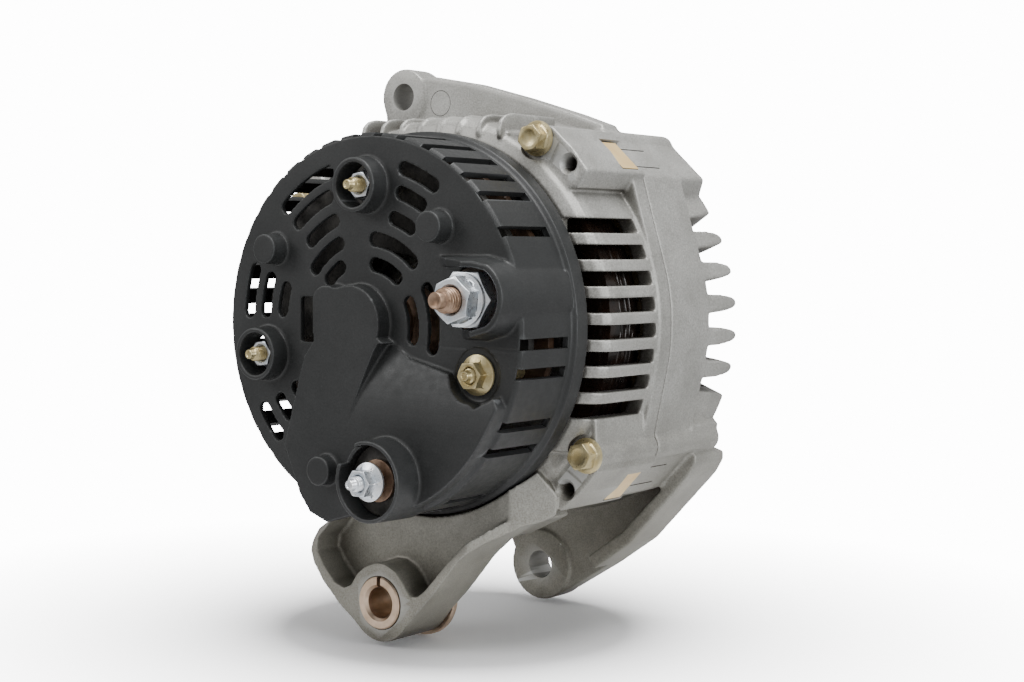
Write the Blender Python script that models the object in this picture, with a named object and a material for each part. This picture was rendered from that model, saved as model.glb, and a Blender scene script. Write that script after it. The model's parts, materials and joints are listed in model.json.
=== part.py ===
"""A car alternator, as it would come apart on a bench.

Two cast housing halves clamp a wound stator. A claw-pole rotor turns inside it on two ball
bearings, with a fan at each end, slip rings under the rear cover and a grooved belt pulley in
front. The rectifier, regulator and brush holder sit between the rear frame and its plastic cover.

Lengths are millimetres until a mesh is made, when MM turns them into metres. Every shape is drawn
about the shaft: y runs along it, from the cover's face at 0 towards the pulley, x is to the right
and z is up for someone who looks at the cover. The model's origin is on the pivot bolt's axis, in
the plane of the front lug's pad.
"""

import math

import bmesh
import bpy
from mathutils import Matrix

MM = 0.001

# Rear cover
COVER_R = 62.5
COVER_RIM_R = 64.2
COVER_DEPTH = 33.0
COVER_WALL = 2.0
PLATEAU = 6.0
COLLAR = 7.0
SHROUD = 9.5
RAMP = (-0.63, -0.032, -0.281)  # height at the axis, and its change with x and with z
PHASE_COLLAR = 16.5
PHASE_COLLAR_R = 13.3
SKIRT_SLOT_WIDTH = 3.6
SKIRT_SLOT_END = 26.0
SKIRT_SLOT_ANGLES = (29.5, 42.0, 50.0, 58.0, 67.0, 77.0, -3.5, -12.0, -28.3, -37.4)
LOW_SLOT_ANGLES = (-62.0, -72.0)
SKIRT_SLOT_PITCH = 8.2
FACE_SLOT_WIDTH = 4.6
FACE_SLOTS = (  # radius, first angle, last angle
    (52.6, 106, 135),
    (45.1, 109, 135),
    (36.9, 109, 135),
    (29.2, 110, 145),
    (22.0, 115, 143),
    (52.8, 56, 75.5),
    (45.1, 57, 74.5),
    (36.6, 56.5, 75.5),
    (28.4, 43, 88),
    (20.3, 45, 87),
    (19.5, -16, 30.5),
    (28.0, -17, 31),
    (53.1, 158, 178.5),
    (45.4, 158, 178),
    (37.6, 158.5, 177),
    (54.5, -150, -134),
    (46.3, -149, -136),
    (37.8, -149, -139),
)

# Housing halves: the body is round, with four flat-faced corners where the bolts run
BODY_R = 69.8
BODY_BORE_R = 64.0
FLANGE_R = 70.5
CORNER_FACE = 76.5
CORNER_HALF = 9.0
CORNER_ANGLE = 47.3
REAR_WALL_Y = 35.0
CORNER_BOSS_Y = 38.0
SEAT_Y = 66.3
SEAM_Y = 73.0
VENT_Y = 98.0
FRONT_CORNER_Y = 114.0
FRONT_FACE_Y = 121.0
GAP = 0.3
CORNERS = (45, 135, 225, 315)
BOLT_R = 73.5
BOLT_ANGLES = (56.3, 146.3, 236.3, 326.3)
SPARE_HOLE_R = 74.5
REAR_VENT_PITCH = 8.5
REAR_VENT_WIDTH = 4.7
REAR_VENT_SHIFTS = {0: 3.2, 90: -0.85, 180: 3.2}
FRONT_VENT_PITCH = 9.38  # degrees
FRONT_VENT_HALF_ANGLE = 2.33
FRONT_VENT_MIDDLE = 5.65

# Lugs
PIVOT = (-7.3, -93.6)
PIVOT_PAD_Y = 107.0
PIVOT_HOLE_R = 5.2
REAR_LUG_Y = 15.0
REAR_LUG_END_Y = 37.0
LUG_FLOOR_Y = 27.0
TOP_LUG = (-47.5, 81.2)
TOP_LUG_Y = 74.0
TOP_LUG_DEPTH = 11.0
TOP_HOLE_R = 5.0
BUSH_R = 8.85
BUSH_FLANGE_R = 14.4
BUSH_FLANGE = 2.2

# Stator and rotor
CORE_R = 67.8
CORE_LOBE_START = 60.8
CORE_BORE_R = 50.2
CORE_START = 66.6
CORE_END = 97.4
CORE_SLOTS = 36
CORE_SLOT_WIDTH = 5.0
CORE_SLOT_R = 62.0
WINDING_REAR = 50.0
WINDING_FRONT = 112.0
ROTOR_R = 49.4
POLE_COUNT = 6
POLE_START = 64.0
POLE_END = 100.0
POLE_PLATE = 11.0
SHAFT_R = 8.7
SHAFT_START = 6.0
SHAFT_END = 158.0
FAN_R = 46.0
FAN_BLADES = 11
PULLEY_R = 27.5
PULLEY_Y = (126.4, 150.0)
PULLEY_GROOVES = 6
PULLEY_PITCH = 3.56
REAR_BEARING = (28.5, 39.5)
FRONT_BEARING = (106.0, 118.0)
SLIP_RING_R = 13.2
SLIP_RINGS = (8.3, 17.3)
SLIP_RING_WIDTH = 6.4

# Terminals and cover studs, as places on the cover's face
B_PLUS = (45.5, 9.8)
D_PLUS = (45.5, -13.6)
PHASE_TERMINAL = (14.5, -47.8)
COVER_STUDS = ((0.0, 45.5), (-43.9, -10.4))
COVER_PEGS = ((-40.0, 24.8), (30.5, 32.1))
PLATEAU_PEG = (-11.5, -46.9)

# Colour, roughness and metallic of each material
BLACK_PLASTIC = ((0.07, 0.075, 0.08), 0.55, 0.0)
CAST_ALUMINIUM = ((0.62, 0.61, 0.58), 0.55, 0.9)
STEEL = ((0.55, 0.56, 0.58), 0.3, 1.0)
LAMINATION = ((0.62, 0.52, 0.38), 0.45, 0.8)
COPPER_WIRE = ((0.45, 0.17, 0.06), 0.35, 0.6)
YELLOW_ZINC = ((0.75, 0.62, 0.33), 0.3, 1.0)
WHITE_ZINC = ((0.78, 0.8, 0.82), 0.25, 1.0)
COPPER = ((0.72, 0.4, 0.28), 0.35, 1.0)
BROWN_RESIN = ((0.3, 0.16, 0.08), 0.5, 0.0)
CARBON = ((0.05, 0.05, 0.05), 0.7, 0.1)
BRONZE = ((0.72, 0.52, 0.4), 0.4, 1.0)


def polar(radius, degrees):
    """The point at this radius and angle, counted from +x towards +z."""
    angle = math.radians(degrees)
    return radius * math.cos(angle), radius * math.sin(angle)


def arc(radius, first, last, steps, centre=(0.0, 0.0)):
    """Points along an arc, both ends included."""
    angles = [first + (last - first) * i / steps for i in range(steps + 1)]
    points = [polar(radius, a) for a in angles]
    return [(centre[0] + x, centre[1] + z) for x, z in points]


def circle(radius, steps, centre=(0.0, 0.0)):
    return arc(radius, 0, 360, steps, centre)[:-1]


def hexagon(across_flats, centre=(0.0, 0.0), turn=0.0):
    return arc(across_flats / math.sqrt(3), turn, turn + 360, 6, centre)[:-1]


def slot_outline(radius, first, last, width, steps=3):
    """An arc-shaped slot with round ends."""
    half = width / 2
    end = half / 2
    spread = math.degrees(end / radius)
    outer = arc(radius + half, first + spread, last - spread, steps)
    inner = arc(radius - half, last - spread, first + spread, steps)
    tips = [polar(radius, last + spread), polar(radius, first - spread)]
    return outer + [tips[0]] + inner + [tips[1]]


def housing_outline(round_r, corner_face, corner_half):
    """A circle with four flat-faced corners, joined to it by tangents."""
    reach = math.hypot(corner_face, corner_half)
    corner_angle = math.degrees(math.atan2(corner_half, corner_face))
    touch = 45 - corner_angle - math.degrees(math.acos(round_r / reach))
    points = []
    for quarter in (0, 90, 180, 270):
        corner = quarter + CORNER_ANGLE
        points += arc(round_r, corner - 45 - touch, corner - 45 + touch, 4)
        points.append(polar(reach, corner - corner_angle))
        points.append(polar(reach, corner + corner_angle))
    return points


def loft(loops):
    """A closed body through loops of equal length, with a face on the first and the last."""
    bm = bmesh.new()
    rows = [[bm.verts.new(p) for p in loop] for loop in loops]
    bm.faces.new(rows[0])
    bm.faces.new(rows[-1])
    for low, high in zip(rows, rows[1:]):
        for i in range(len(low)):
            j = (i + 1) % len(low)
            bm.faces.new((low[i], low[j], high[j], high[i]))
    bmesh.ops.recalc_face_normals(bm, faces=bm.faces)
    return bm


def prism(outline, start, end):
    return loft([[(x, y, z) for x, z in outline] for y in (start, end)])


def rod(radius, start, end, centre=(0.0, 0.0), steps=16):
    return prism(circle(radius, steps, centre), start, end)


def block(low, high):
    (x0, y0, z0), (x1, y1, z1) = low, high
    return prism([(x0, z0), (x1, z0), (x1, z1), (x0, z1)], y0, y1)


def turned(profile, steps=48, centre=(0.0, 0.0)):
    """A closed (radius, y) profile turned about the y direction through centre."""
    bm = bmesh.new()
    rows = []
    for radius, y in profile:
        points = circle(radius, steps, centre) if radius else [centre]
        rows.append([bm.verts.new((x, y, z)) for x, z in points])
    for first, second in zip(rows, rows[1:] + rows[:1]):
        if len(first) == len(second) == 1:
            continue
        for i in range(steps):
            j = (i + 1) % steps
            corners = [first[i % len(first)], first[j % len(first)]]
            corners += [second[j % len(second)], second[i % len(second)]]
            bm.faces.new(list(dict.fromkeys(corners)))
    bmesh.ops.recalc_face_normals(bm, faces=bm.faces)
    return bm


def ring(outer, inner, start, end, steps=48, centre=(0.0, 0.0)):
    profile = [(outer, start), (outer, end), (inner, end), (inner, start)]
    return turned(profile, steps, centre)


def rolled(bm, degrees):
    """The shape turned about the shaft."""
    turn = Matrix.Rotation(-math.radians(degrees), 3, "Y")
    bmesh.ops.rotate(bm, cent=(0, 0, 0), matrix=turn, verts=bm.verts)
    return bm


def material(name, look):
    colour, roughness, metallic = look
    made = bpy.data.materials.new(name)
    made.use_nodes = True
    shader = made.node_tree.nodes["Principled BSDF"]
    shader.inputs["Base Color"].default_value = (*colour, 1.0)
    shader.inputs["Roughness"].default_value = roughness
    shader.inputs["Metallic"].default_value = metallic
    return made


def mesh_object(name, bm, parent, collection):
    mesh = bpy.data.meshes.new(name)
    bmesh.ops.scale(bm, vec=(MM, MM, MM), verts=bm.verts)
    bm.to_mesh(mesh)
    bm.free()
    mesh.shade_smooth()
    mesh.set_sharp_from_angle(angle=math.radians(30))
    made = bpy.data.objects.new(name, mesh)
    made.parent = parent
    collection.objects.link(made)
    return made


def helpers(name, shapes, parent):
    """A collection of hidden shapes for a Boolean to work with."""
    group = bpy.data.collections.new(name)
    group.hide_render = True
    bpy.context.scene.collection.children.link(group)
    for number, shape in enumerate(shapes):
        helper = mesh_object(f"{name}_{number}", shape, parent, group)
        helper.hide_render = True
        helper.display_type = "WIRE"
    return group


def solid(name, shape, look, parent, add=(), cut=()):
    """A named piece: one shape, with others joined to it and others cut from it."""
    made = mesh_object(name, shape, parent, bpy.context.scene.collection)
    made.data.materials.append(material(name, look))
    for operation, shapes in (("UNION", add), ("DIFFERENCE", cut)):
        if shapes:
            boolean = made.modifiers.new(operation.title(), "BOOLEAN")
            boolean.operation = operation
            boolean.operand_type = "COLLECTION"
            boolean.collection = helpers(f"{name}_{operation.lower()}", shapes, parent)
    return made


def clear_scene():
    for old in list(bpy.data.objects):
        bpy.data.objects.remove(old)


def axis_empty(name, place, parent=None):
    made = bpy.data.objects.new(name, None)
    made.location = [c * MM for c in place]
    made.parent = parent
    bpy.context.scene.collection.objects.link(made)
    return made


# The rear cover


def plateau_outline():
    """The raised part over the slip rings and the regulator."""
    left_lobe = arc(6.0, 170, 60, 4, (-12.5, 7.2))
    main_lobe = arc(12.4, 105, -20, 7, (-2.2, 1.0))
    right_edge = [(19.4, -9.6), (36.0, -13.5), (38.9, -19.0), (48.0, -23.6), (54.9, -20.1)]
    rim = arc(COVER_R - 1.2, -22, -92, 8)
    left_edge = [(-12.0, -64.2), (-19.4, -61.6), (-23.9, -56.0), (-31.0, -40.0)]
    left_edge += [(-22.0, -10.3), (-17.9, -5.3)]
    return left_lobe + main_lobe + right_edge + rim + left_edge


def plateau_hollow():
    outline = [(-9.5, 5.5), (0.0, 8.0), (4.0, 0.0), (1.0, -9.0), (-5.0, -23.0), (2.0, -34.0)]
    outline += [(44.0, -37.0), (36.0, -46.0), (20.0, -57.0), (0.0, -60.5), (-10.0, -60.5)]
    outline += [(-17.0, -56.5), (-27.0, -40.0), (-19.0, -12.0), (-14.0, -4.0)]
    return prism(outline, -PLATEAU + 2.2, COVER_WALL + 0.5)


def plateau_ramp():
    """What is cut away so that the plateau rises slowly beside the ridge from the lobe."""
    at_axis, along_x, along_z = RAMP
    outline = [(9.8, -3.5), (5.2, -7.9), (-0.8, -23.5), (60.0, -29.2), (64.0, -18.0), (45.0, -7.6)]
    floor = [(x, -(at_axis + along_x * x + along_z * z), z) for x, z in outline]
    return loft([[(x, -PLATEAU - 1.0, z) for x, z in outline], floor])


def shroud_loop(y, inset, top_left, bottom_left):
    """One level of the wall round the battery terminal's outer side."""
    side = arc(12.9 - inset, 62, -58, 6, (50.2, 10.3))
    outline = [(top_left, 22.9 - inset), (50.0, 22.9 - inset)] + side
    outline += [(50.0, -2.6 + inset), (bottom_left, -2.6 + inset)]
    return [(x, y, z) for x, z in outline]


def shroud():
    """The wall, which slopes up out of the face and narrows to its rim."""
    low, middle = shroud_loop(SKIRT_SLOT_END, 0.0, 46.0, 44.0), shroud_loop(0.0, 0.0, 30.0, 40.0)
    return loft([low, middle, shroud_loop(-SHROUD, 1.2, 46.0, 50.0)])


def shroud_hollow():
    return loft([shroud_loop(y, 3.2, 22.0, 22.0) for y in (-SHROUD - 1.0, -0.4)])


def cover_blank():
    """The cover as a solid disc with its stepped rim, before it is hollowed."""
    step = SKIRT_SLOT_END + 1.2
    profile = [(0.0, 0.0), (COVER_R - 1.2, 0.0), (COVER_R, 1.2), (COVER_R, SKIRT_SLOT_END)]
    profile += [(COVER_RIM_R, step), (COVER_RIM_R, COVER_DEPTH), (0.0, COVER_DEPTH)]
    return turned(profile, 48)


def cover_hollow():
    inner, step = COVER_R - COVER_WALL, SKIRT_SLOT_END + 1.0
    rim = COVER_RIM_R - COVER_WALL
    profile = [(0.0, COVER_WALL), (inner, COVER_WALL), (inner, step), (rim, step + 2.0)]
    profile += [(rim, COVER_DEPTH + 1.0), (0.0, COVER_DEPTH + 1.0)]
    return turned(profile, 48)


def skirt_slot_angles():
    """The slots that are set out one by one, then the even ones round the top and the left."""
    even = [86.0 + SKIRT_SLOT_PITCH * i for i in range(18)]
    return list(SKIRT_SLOT_ANGLES) + even


def skirt_slot(angle):
    """A slot through the skirt that notches the face's edge."""
    half, notch = SKIRT_SLOT_WIDTH / 2, COVER_R - 1.6
    inside, outside, end = COVER_R - 6.0, COVER_R + 3.0, SKIRT_SLOT_END - 1.5
    profile = [(outside, -1.0), (outside, end), (inside, end), (inside, 2.6), (notch, 0.8)]
    profile.append((notch, -1.0))
    return rolled(loft([[(r, y, z) for r, y in profile] for z in (-half, half)]), angle)


def low_slot(angle):
    """A slot under the plateau, which stays clear of the face."""
    half = SKIRT_SLOT_WIDTH / 2
    cutter = block((COVER_R - 6.0, 5.0, -half), (COVER_R + 6.0, SKIRT_SLOT_END - 1.5, half))
    return rolled(cutter, angle)


def face_slot(radius, first, last):
    return prism(slot_outline(radius, first, last, FACE_SLOT_WIDTH), -1.0, COVER_WALL + 1.0)


def rear_cover(parent):
    x, z = PHASE_TERMINAL
    add = [
        prism(plateau_outline(), -PLATEAU, 1.0),
        shroud(),
        rod(5.0, -PLATEAU - 5.0, 1.0, PLATEAU_PEG),
        rod(PHASE_COLLAR_R, -PHASE_COLLAR, 1.0, PHASE_TERMINAL, 28),
    ]
    add += [rod(9.0, -COLLAR, 1.0, place, 20) for place in COVER_STUDS]
    add += [rod(5.2, -6.5, 1.0, place) for place in COVER_PEGS]
    cut = [
        cover_hollow(),
        plateau_hollow(),
        plateau_ramp(),
        shroud_hollow(),
        rod(PHASE_COLLAR_R - 1.6, -PHASE_COLLAR - 1.0, COVER_WALL + 1.0, PHASE_TERMINAL, 28),
        block((x - 14.0, -PHASE_COLLAR - 1.0, z + 5.0), (x - 5.0, -PHASE_COLLAR + 4.0, z + 15.0)),
        rod(11.0, -1.0, COVER_WALL + 1.0, B_PLUS, 28),
        rod(8.6, -PLATEAU - 1.0, 0.8, D_PLUS, 20),
        rod(3.4, -1.0, COVER_WALL + 1.0, D_PLUS, 12),
        block((-29.0, -1.0, -6.0), (-21.8, COVER_WALL + 1.0, 9.0)),
    ]
    cut += [rod(7.2, -COLLAR - 1.0, COVER_WALL + 1.0, place, 20) for place in COVER_STUDS]
    cut += [face_slot(*slot) for slot in FACE_SLOTS]
    cut += [skirt_slot(angle) for angle in skirt_slot_angles()]
    cut += [low_slot(angle) for angle in LOW_SLOT_ANGLES]
    return solid("rear_cover", cover_blank(), BLACK_PLASTIC, parent, add, cut)


# The housing halves


def corner_boss(start, end):
    """The boss on the first corner that two bolt holes go through."""
    outline = [
        (27.7, 63.8),
        (45.8, 64.9),
        (53.9, 57.8),
        (59.9, 50.5),
        (56.4, 45.0),
        (48.4, 44.5),
        (36.5, 54.7),
        (27.7, 58.9),
    ]
    return prism(outline, start, end)


def vent_rows(pitch, count):
    return [(i - (count - 1) / 2) * pitch for i in range(count)]


def side_vent(offset, width, start, end):
    half = width / 2
    return block((52.0, start, offset - half), (75.0, end, offset + half))


def rear_lug():
    """The plate that holds the split bush, and the root that joins it to the body."""
    x, z = PIVOT
    outline = [(-27.0, -64.5), (-32.0, -68.7), (-35.7, -71.2), (-38.6, -75.7), (-39.5, -79.2)]
    outline += [(-38.1, -83.3), (-33.9, -89.1), (-26.4, -96.2), (x - 10.0, z - 9.0), (x, z - 5.0)]
    outline += [(x + 9.7, z - 9.0), (6.6, -97.2), (14.3, -89.3), (20.1, -82.6), (25.1, -76.6)]
    outline += [(32.0, -70.6), (40.1, -65.3), (46.1, -63.1), (53.0, -59.0), (44.0, -46.0)]
    root = arc(64.0, 245, 300, 10) + [(34.0, -66.0), (18.0, -74.0), (-24.0, -72.0)]
    root.append((-29.0, -66.0))
    return [
        rod(13.2, REAR_LUG_Y, REAR_LUG_END_Y, PIVOT),
        prism(outline, REAR_LUG_Y + 0.6, REAR_LUG_END_Y),
        prism(root, COVER_DEPTH + 1.0, SEAT_Y),
    ]


def rear_lug_pocket():
    """The hollow in the plate's rear face, which leaves a rim and an arch round the bush."""
    outline = [(-25.0, -62.0), (-32.0, -70.4), (-36.1, -74.6), (-36.7, -78.9), (-32.9, -84.4)]
    outline += [(-28.3, -89.2), (-24.1, -90.6), (-20.9, -89.2), (-17.8, -84.9), (-14.2, -82.1)]
    outline += [(-9.2, -80.2), (-5.3, -80.2), (-0.8, -82.2), (2.2, -85.2), (4.4, -88.5)]
    outline += [(6.2, -90.0), (8.4, -89.8), (11.7, -87.2), (15.1, -83.6), (20.5, -77.6)]
    outline += [(27.5, -70.9), (34.9, -64.7), (40.9, -59.9), (40.0, -48.0)]
    return prism(outline, REAR_LUG_Y - 1.0, LUG_FLOOR_Y)


def rear_frame_profile():
    """The cup of the rear half: body wall, rear wall and the bearing hub in the middle."""
    return [
        (BODY_R - 6.0, REAR_WALL_Y),
        (BODY_R - 2.6, REAR_WALL_Y + 1.3),
        (BODY_R - 0.7, REAR_WALL_Y + 3.6),
        (BODY_R, REAR_WALL_Y + 7.0),
        (BODY_R, SEAT_Y + 1.0),
        (BODY_BORE_R, SEAT_Y + 1.0),
        (BODY_BORE_R, REAR_WALL_Y + 4.0),
        (21.5, REAR_WALL_Y + 4.0),
        (21.5, REAR_BEARING[1] + 1.0),
        (17.8, REAR_BEARING[1] + 1.0),
        (17.8, REAR_BEARING[0] - GAP),
        (12.0, REAR_BEARING[0] - GAP),
        (12.0, REAR_BEARING[0] - 2.0),
        (21.5, REAR_BEARING[0] - 2.0),
        (21.5, REAR_WALL_Y),
    ]


def core_lobe(reach, half, start, end, angle):
    lobe = block((CORE_R - 12.0, start, -half), (reach, end, half))
    return rolled(lobe, angle + CORNER_ANGLE - 45)


def lobe_tab(angle):
    """The lobe's end that shows in the rear half's corner window."""
    tab = block((67.3, CORE_LOBE_START, -5.6), (73.8, CORE_START + 1.0, 5.6))
    return rolled(tab, angle + CORNER_ANGLE - 45)


def corner_window(angle):
    """A window in a corner's flat that shows the core's lobe."""
    cutter = block((66.9, CORE_LOBE_START - 0.5, -6.0), (85.0, SEAM_Y + 1.0, 6.0))
    return rolled(cutter, angle + CORNER_ANGLE - 45)


def rear_frame(parent):
    flange = housing_outline(FLANGE_R, CORNER_FACE, CORNER_HALF)
    add = [prism(flange, SEAT_Y, SEAM_Y)]
    add += [rolled(corner_boss(CORNER_BOSS_Y, SEAM_Y), a - 45) for a in CORNERS]
    add += [rod(4.6, CORNER_BOSS_Y, SEAM_Y, polar(BOLT_R, a)) for a in BOLT_ANGLES]
    add += rear_lug()
    cut = [
        rod(CORE_R + GAP, SEAT_Y, SEAM_Y + 1.0, steps=36),
        rod(BODY_BORE_R, REAR_WALL_Y + 4.0, SEAT_Y + 1.0, steps=36),
        rod(9.15, REAR_LUG_Y - 1.0, REAR_LUG_END_Y + 1.0, PIVOT, 24),
        rod(COVER_RIM_R + 0.6, REAR_LUG_Y - 5.0, REAR_WALL_Y - 1.0, steps=48),
    ]
    cut.append(rear_lug_pocket())
    cut += [corner_window(a) for a in CORNERS]
    cut += [rod(7.0, REAR_LUG_Y, CORNER_BOSS_Y, polar(BOLT_R, a)) for a in BOLT_ANGLES]
    cut += [rod(2.8, CORNER_BOSS_Y - 1, SEAM_Y + 1, polar(BOLT_R, a), 12) for a in BOLT_ANGLES]
    cut += [rod(2.4, CORNER_BOSS_Y - 1, 48.0, polar(SPARE_HOLE_R, a), 12) for a in CORNERS]
    for side, shift in REAR_VENT_SHIFTS.items():
        for row in vent_rows(REAR_VENT_PITCH, 8):
            vent = side_vent(row + shift, REAR_VENT_WIDTH, REAR_WALL_Y - 1.0, SEAT_Y - 1.5)
            cut.append(rolled(vent, side))
    for angle in range(0, 360, 45):
        cut.append(prism(slot_outline(38.0, angle + 8, angle + 37, 20.0), 33.0, 41.0))
    return solid("rear_frame", turned(rear_frame_profile(), 36), CAST_ALUMINIUM, parent, add, cut)


def front_frame_profile():
    """The drive-end half's round parts: a shouldered bell with the front bearing's hub."""
    return [
        (FLANGE_R - 0.5, VENT_Y - 1.0),
        (71.2, 106.0),
        (71.4, 113.5),
        (70.7, 116.2),
        (69.0, 118.7),
        (66.0, 120.5),
        (61.0, FRONT_FACE_Y),
        (30.0, FRONT_FACE_Y),
        (26.0, 122.0),
        (14.0, 122.0),
        (14.0, FRONT_BEARING[1] + GAP),
        (20.3, FRONT_BEARING[1] + GAP),
        (20.3, FRONT_BEARING[0] - 0.5),
        (25.5, FRONT_BEARING[0] - 0.5),
        (25.5, 116.0),
        (60.0, 116.0),
        (64.5, 112.0),
        (64.5, VENT_Y - 1.0),
    ]


def top_lug():
    x, z = TOP_LUG
    arm = [(x + 5.0, z - 9.0), (x + 9.0, z + 7.6), (-16.0, 84.8), (6.4, 78.8), (28.0, 72.3)]
    arm += [(40.5, 68.0), (44.0, 60.0), (-50.0, 52.0), (-56.3, 66.0), (x - 9.8, z - 2.0)]
    return [
        rod(10.4, TOP_LUG_Y, TOP_LUG_Y + TOP_LUG_DEPTH + 1.0, TOP_LUG, 28),
        prism(arm, TOP_LUG_Y + 1.0, TOP_LUG_Y + TOP_LUG_DEPTH),
    ]


def front_lug():
    """The pad that takes the pivot bolt, on a rimmed web from the lower corners."""
    x, z = PIVOT
    web = [(x - 12.6, z + 3.0), (x - 24.0, -66.0), (-50.0, -46.0), (50.0, -46.0), (64.8, -48.7)]
    web += [(62.0, -54.0), (37.7, -80.0), (22.0, -91.0), (x + 6.0, z - 11.8)]
    rim = [(64.8, -46.0), (64.8, -49.2), (62.0, -54.0), (37.7, -80.0), (22.0, -91.0)]
    rim += [(19.5, -86.5), (34.5, -76.0), (57.0, -52.0), (58.0, -44.0)]
    return [
        rod(13.2, PIVOT_PAD_Y, FRONT_FACE_Y - 1.0, PIVOT),
        prism(web, PIVOT_PAD_Y + 1.5, FRONT_FACE_Y - 2.0),
        prism(rim, VENT_Y + 1.0, FRONT_FACE_Y - 2.0),
    ]


def front_vent(angle):
    """A radial vent, through the side wall and over the shoulder."""
    outline = [polar(44.0, -FRONT_VENT_HALF_ANGLE), polar(82.0, -FRONT_VENT_HALF_ANGLE)]
    outline += [polar(82.0, FRONT_VENT_HALF_ANGLE), polar(44.0, FRONT_VENT_HALF_ANGLE)]
    return rolled(prism(outline, VENT_Y + 0.5, FRONT_FACE_Y + 3.0), angle)


def front_corner(angle):
    """The solid corner that a bolt screws into."""
    inner = 65.5
    outline = [(inner, -14.0), (CORNER_FACE, -CORNER_HALF), (CORNER_FACE, CORNER_HALF)]
    outline += [(72.5, 18.0), (inner, 18.0)]
    return rolled(prism(outline, VENT_Y - 2.0, FRONT_CORNER_Y), angle + CORNER_ANGLE - 45)


def front_frame(parent):
    skirt = prism(housing_outline(FLANGE_R, CORNER_FACE, CORNER_HALF), SEAM_Y + GAP, VENT_Y)
    add = [turned(front_frame_profile(), 36)] + top_lug() + front_lug()
    add += [front_corner(a) for a in CORNERS]
    add += [rod(4.8, SEAM_Y + GAP, FRONT_CORNER_Y, polar(BOLT_R, a)) for a in BOLT_ANGLES]
    cut = [
        rod(CORE_R + GAP, SEAM_Y - 1.0, VENT_Y - 0.3, steps=36),
        rod(64.5, VENT_Y - 1.0, 112.0, steps=36),
        rod(PIVOT_HOLE_R, PIVOT_PAD_Y - 1.0, FRONT_FACE_Y + 1.0, PIVOT, 20),
        rod(TOP_HOLE_R, TOP_LUG_Y - 1.0, TOP_LUG_Y + TOP_LUG_DEPTH + 2.0, TOP_LUG, 20),
    ]
    cut += [core_lobe(74.1, 6.0, SEAM_Y - 1.0, VENT_Y - 0.3, a) for a in CORNERS]
    cut += [rod(2.8, SEAM_Y - 1.0, 111.0, polar(BOLT_R, a), 12) for a in BOLT_ANGLES]
    for side in (0, 90, 180):
        middle = side + FRONT_VENT_MIDDLE
        cut += [front_vent(middle + row) for row in vent_rows(FRONT_VENT_PITCH, 6)]
    return solid("front_frame", skirt, CAST_ALUMINIUM, parent, add, cut)


# Fasteners


def hex_nut(name, place, across, start, end, bore, look, parent, flange=None):
    """A nut whose hexagon starts at the rear and whose flange, if any, is at its front end."""
    cut = [rod(bore, start - 1.0, end + 1.0, place, 12)]
    add = []
    if flange:
        add.append(rod(flange, end - 1.5, end, place, 18))
    return solid(name, prism(hexagon(across, place), start, end - 0.2), look, parent, add, cut)


def stud(name, place, radius, start, end, look, parent):
    tip = radius * 0.7
    profile = [(0.0, start), (tip, start), (radius, start + 2.0), (radius, end), (0.0, end)]
    return solid(name, turned(profile, 12, place), look, parent)


def through_bolt(number, angle, parent):
    """A flanged hexagon head on a long shank, from the rear frame into the front one."""
    x, z = polar(BOLT_R, angle)
    seat = CORNER_BOSS_Y - GAP
    shank = rod(2.4, seat - 1.0, 108.0, (x, z), 10)
    add = [
        rod(5.8, seat - 1.6, seat, (x, z), 16),
        prism(hexagon(8.0, (x, z), 12.0), seat - 5.5, seat - 1.0),
    ]
    return solid(f"through_bolt_{number}", shank, YELLOW_ZINC, parent, add)


def fasteners(parent):
    for number, angle in enumerate(BOLT_ANGLES, 1):
        through_bolt(number, angle, parent)
    for number, place in enumerate(COVER_STUDS, 1):
        stud(f"cover_stud_{number}", place, 2.4, -9.7, REAR_WALL_Y - GAP, YELLOW_ZINC, parent)
        name = f"cover_nut_{number}"
        hex_nut(name, place, 8.0, -4.0, 1.5, 2.7, WHITE_ZINC, parent, flange=5.6)


def terminals(parent):
    stud("b_plus_stud", B_PLUS, 4.0, -21.0, 12.7, COPPER, parent)
    hex_nut("b_plus_base_nut", B_PLUS, 17.0, -7.0, -1.0, 4.3, WHITE_ZINC, parent)
    hex_nut("b_plus_nut", B_PLUS, 13.0, -13.7, -7.3, 4.3, WHITE_ZINC, parent, flange=8.2)
    washer = ring(10.4, 4.3, -0.7, 12.7, 24, B_PLUS)
    solid("b_plus_insulator", washer, BROWN_RESIN, parent)
    stud("d_plus_stud", D_PLUS, 2.4, -6.8, 21.7, YELLOW_ZINC, parent)
    hex_nut("d_plus_nut", D_PLUS, 8.0, -4.7, 0.5, 2.7, YELLOW_ZINC, parent, flange=6.4)
    stud("phase_stud", PHASE_TERMINAL, 2.4, -24.5, -1.0, WHITE_ZINC, parent)
    hex_nut("phase_nut", PHASE_TERMINAL, 8.0, -20.6, -14.9, 2.7, WHITE_ZINC, parent, flange=6.2)
    solid("phase_washer", ring(6.8, 2.7, -11.3, -9.8, 24, PHASE_TERMINAL), BRONZE, parent)


# What sits between the rear frame and the cover


def horseshoe(outer, inner, first, last, steps=12):
    return arc(outer, first, last, steps) + arc(inner, last, first, steps)


def diode(number, angle, radius, start, parent):
    """A pressed-in diode: a knurled cup with a lead."""
    x, z = polar(radius, angle)
    cup = rod(6.0, start, start + 3.5, (x, z), 12)
    lead = [rod(0.9, start + 3.0, start + 5.0, (x, z), 6)]
    solid(f"diode_{number}", cup, STEEL, parent, lead)


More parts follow.
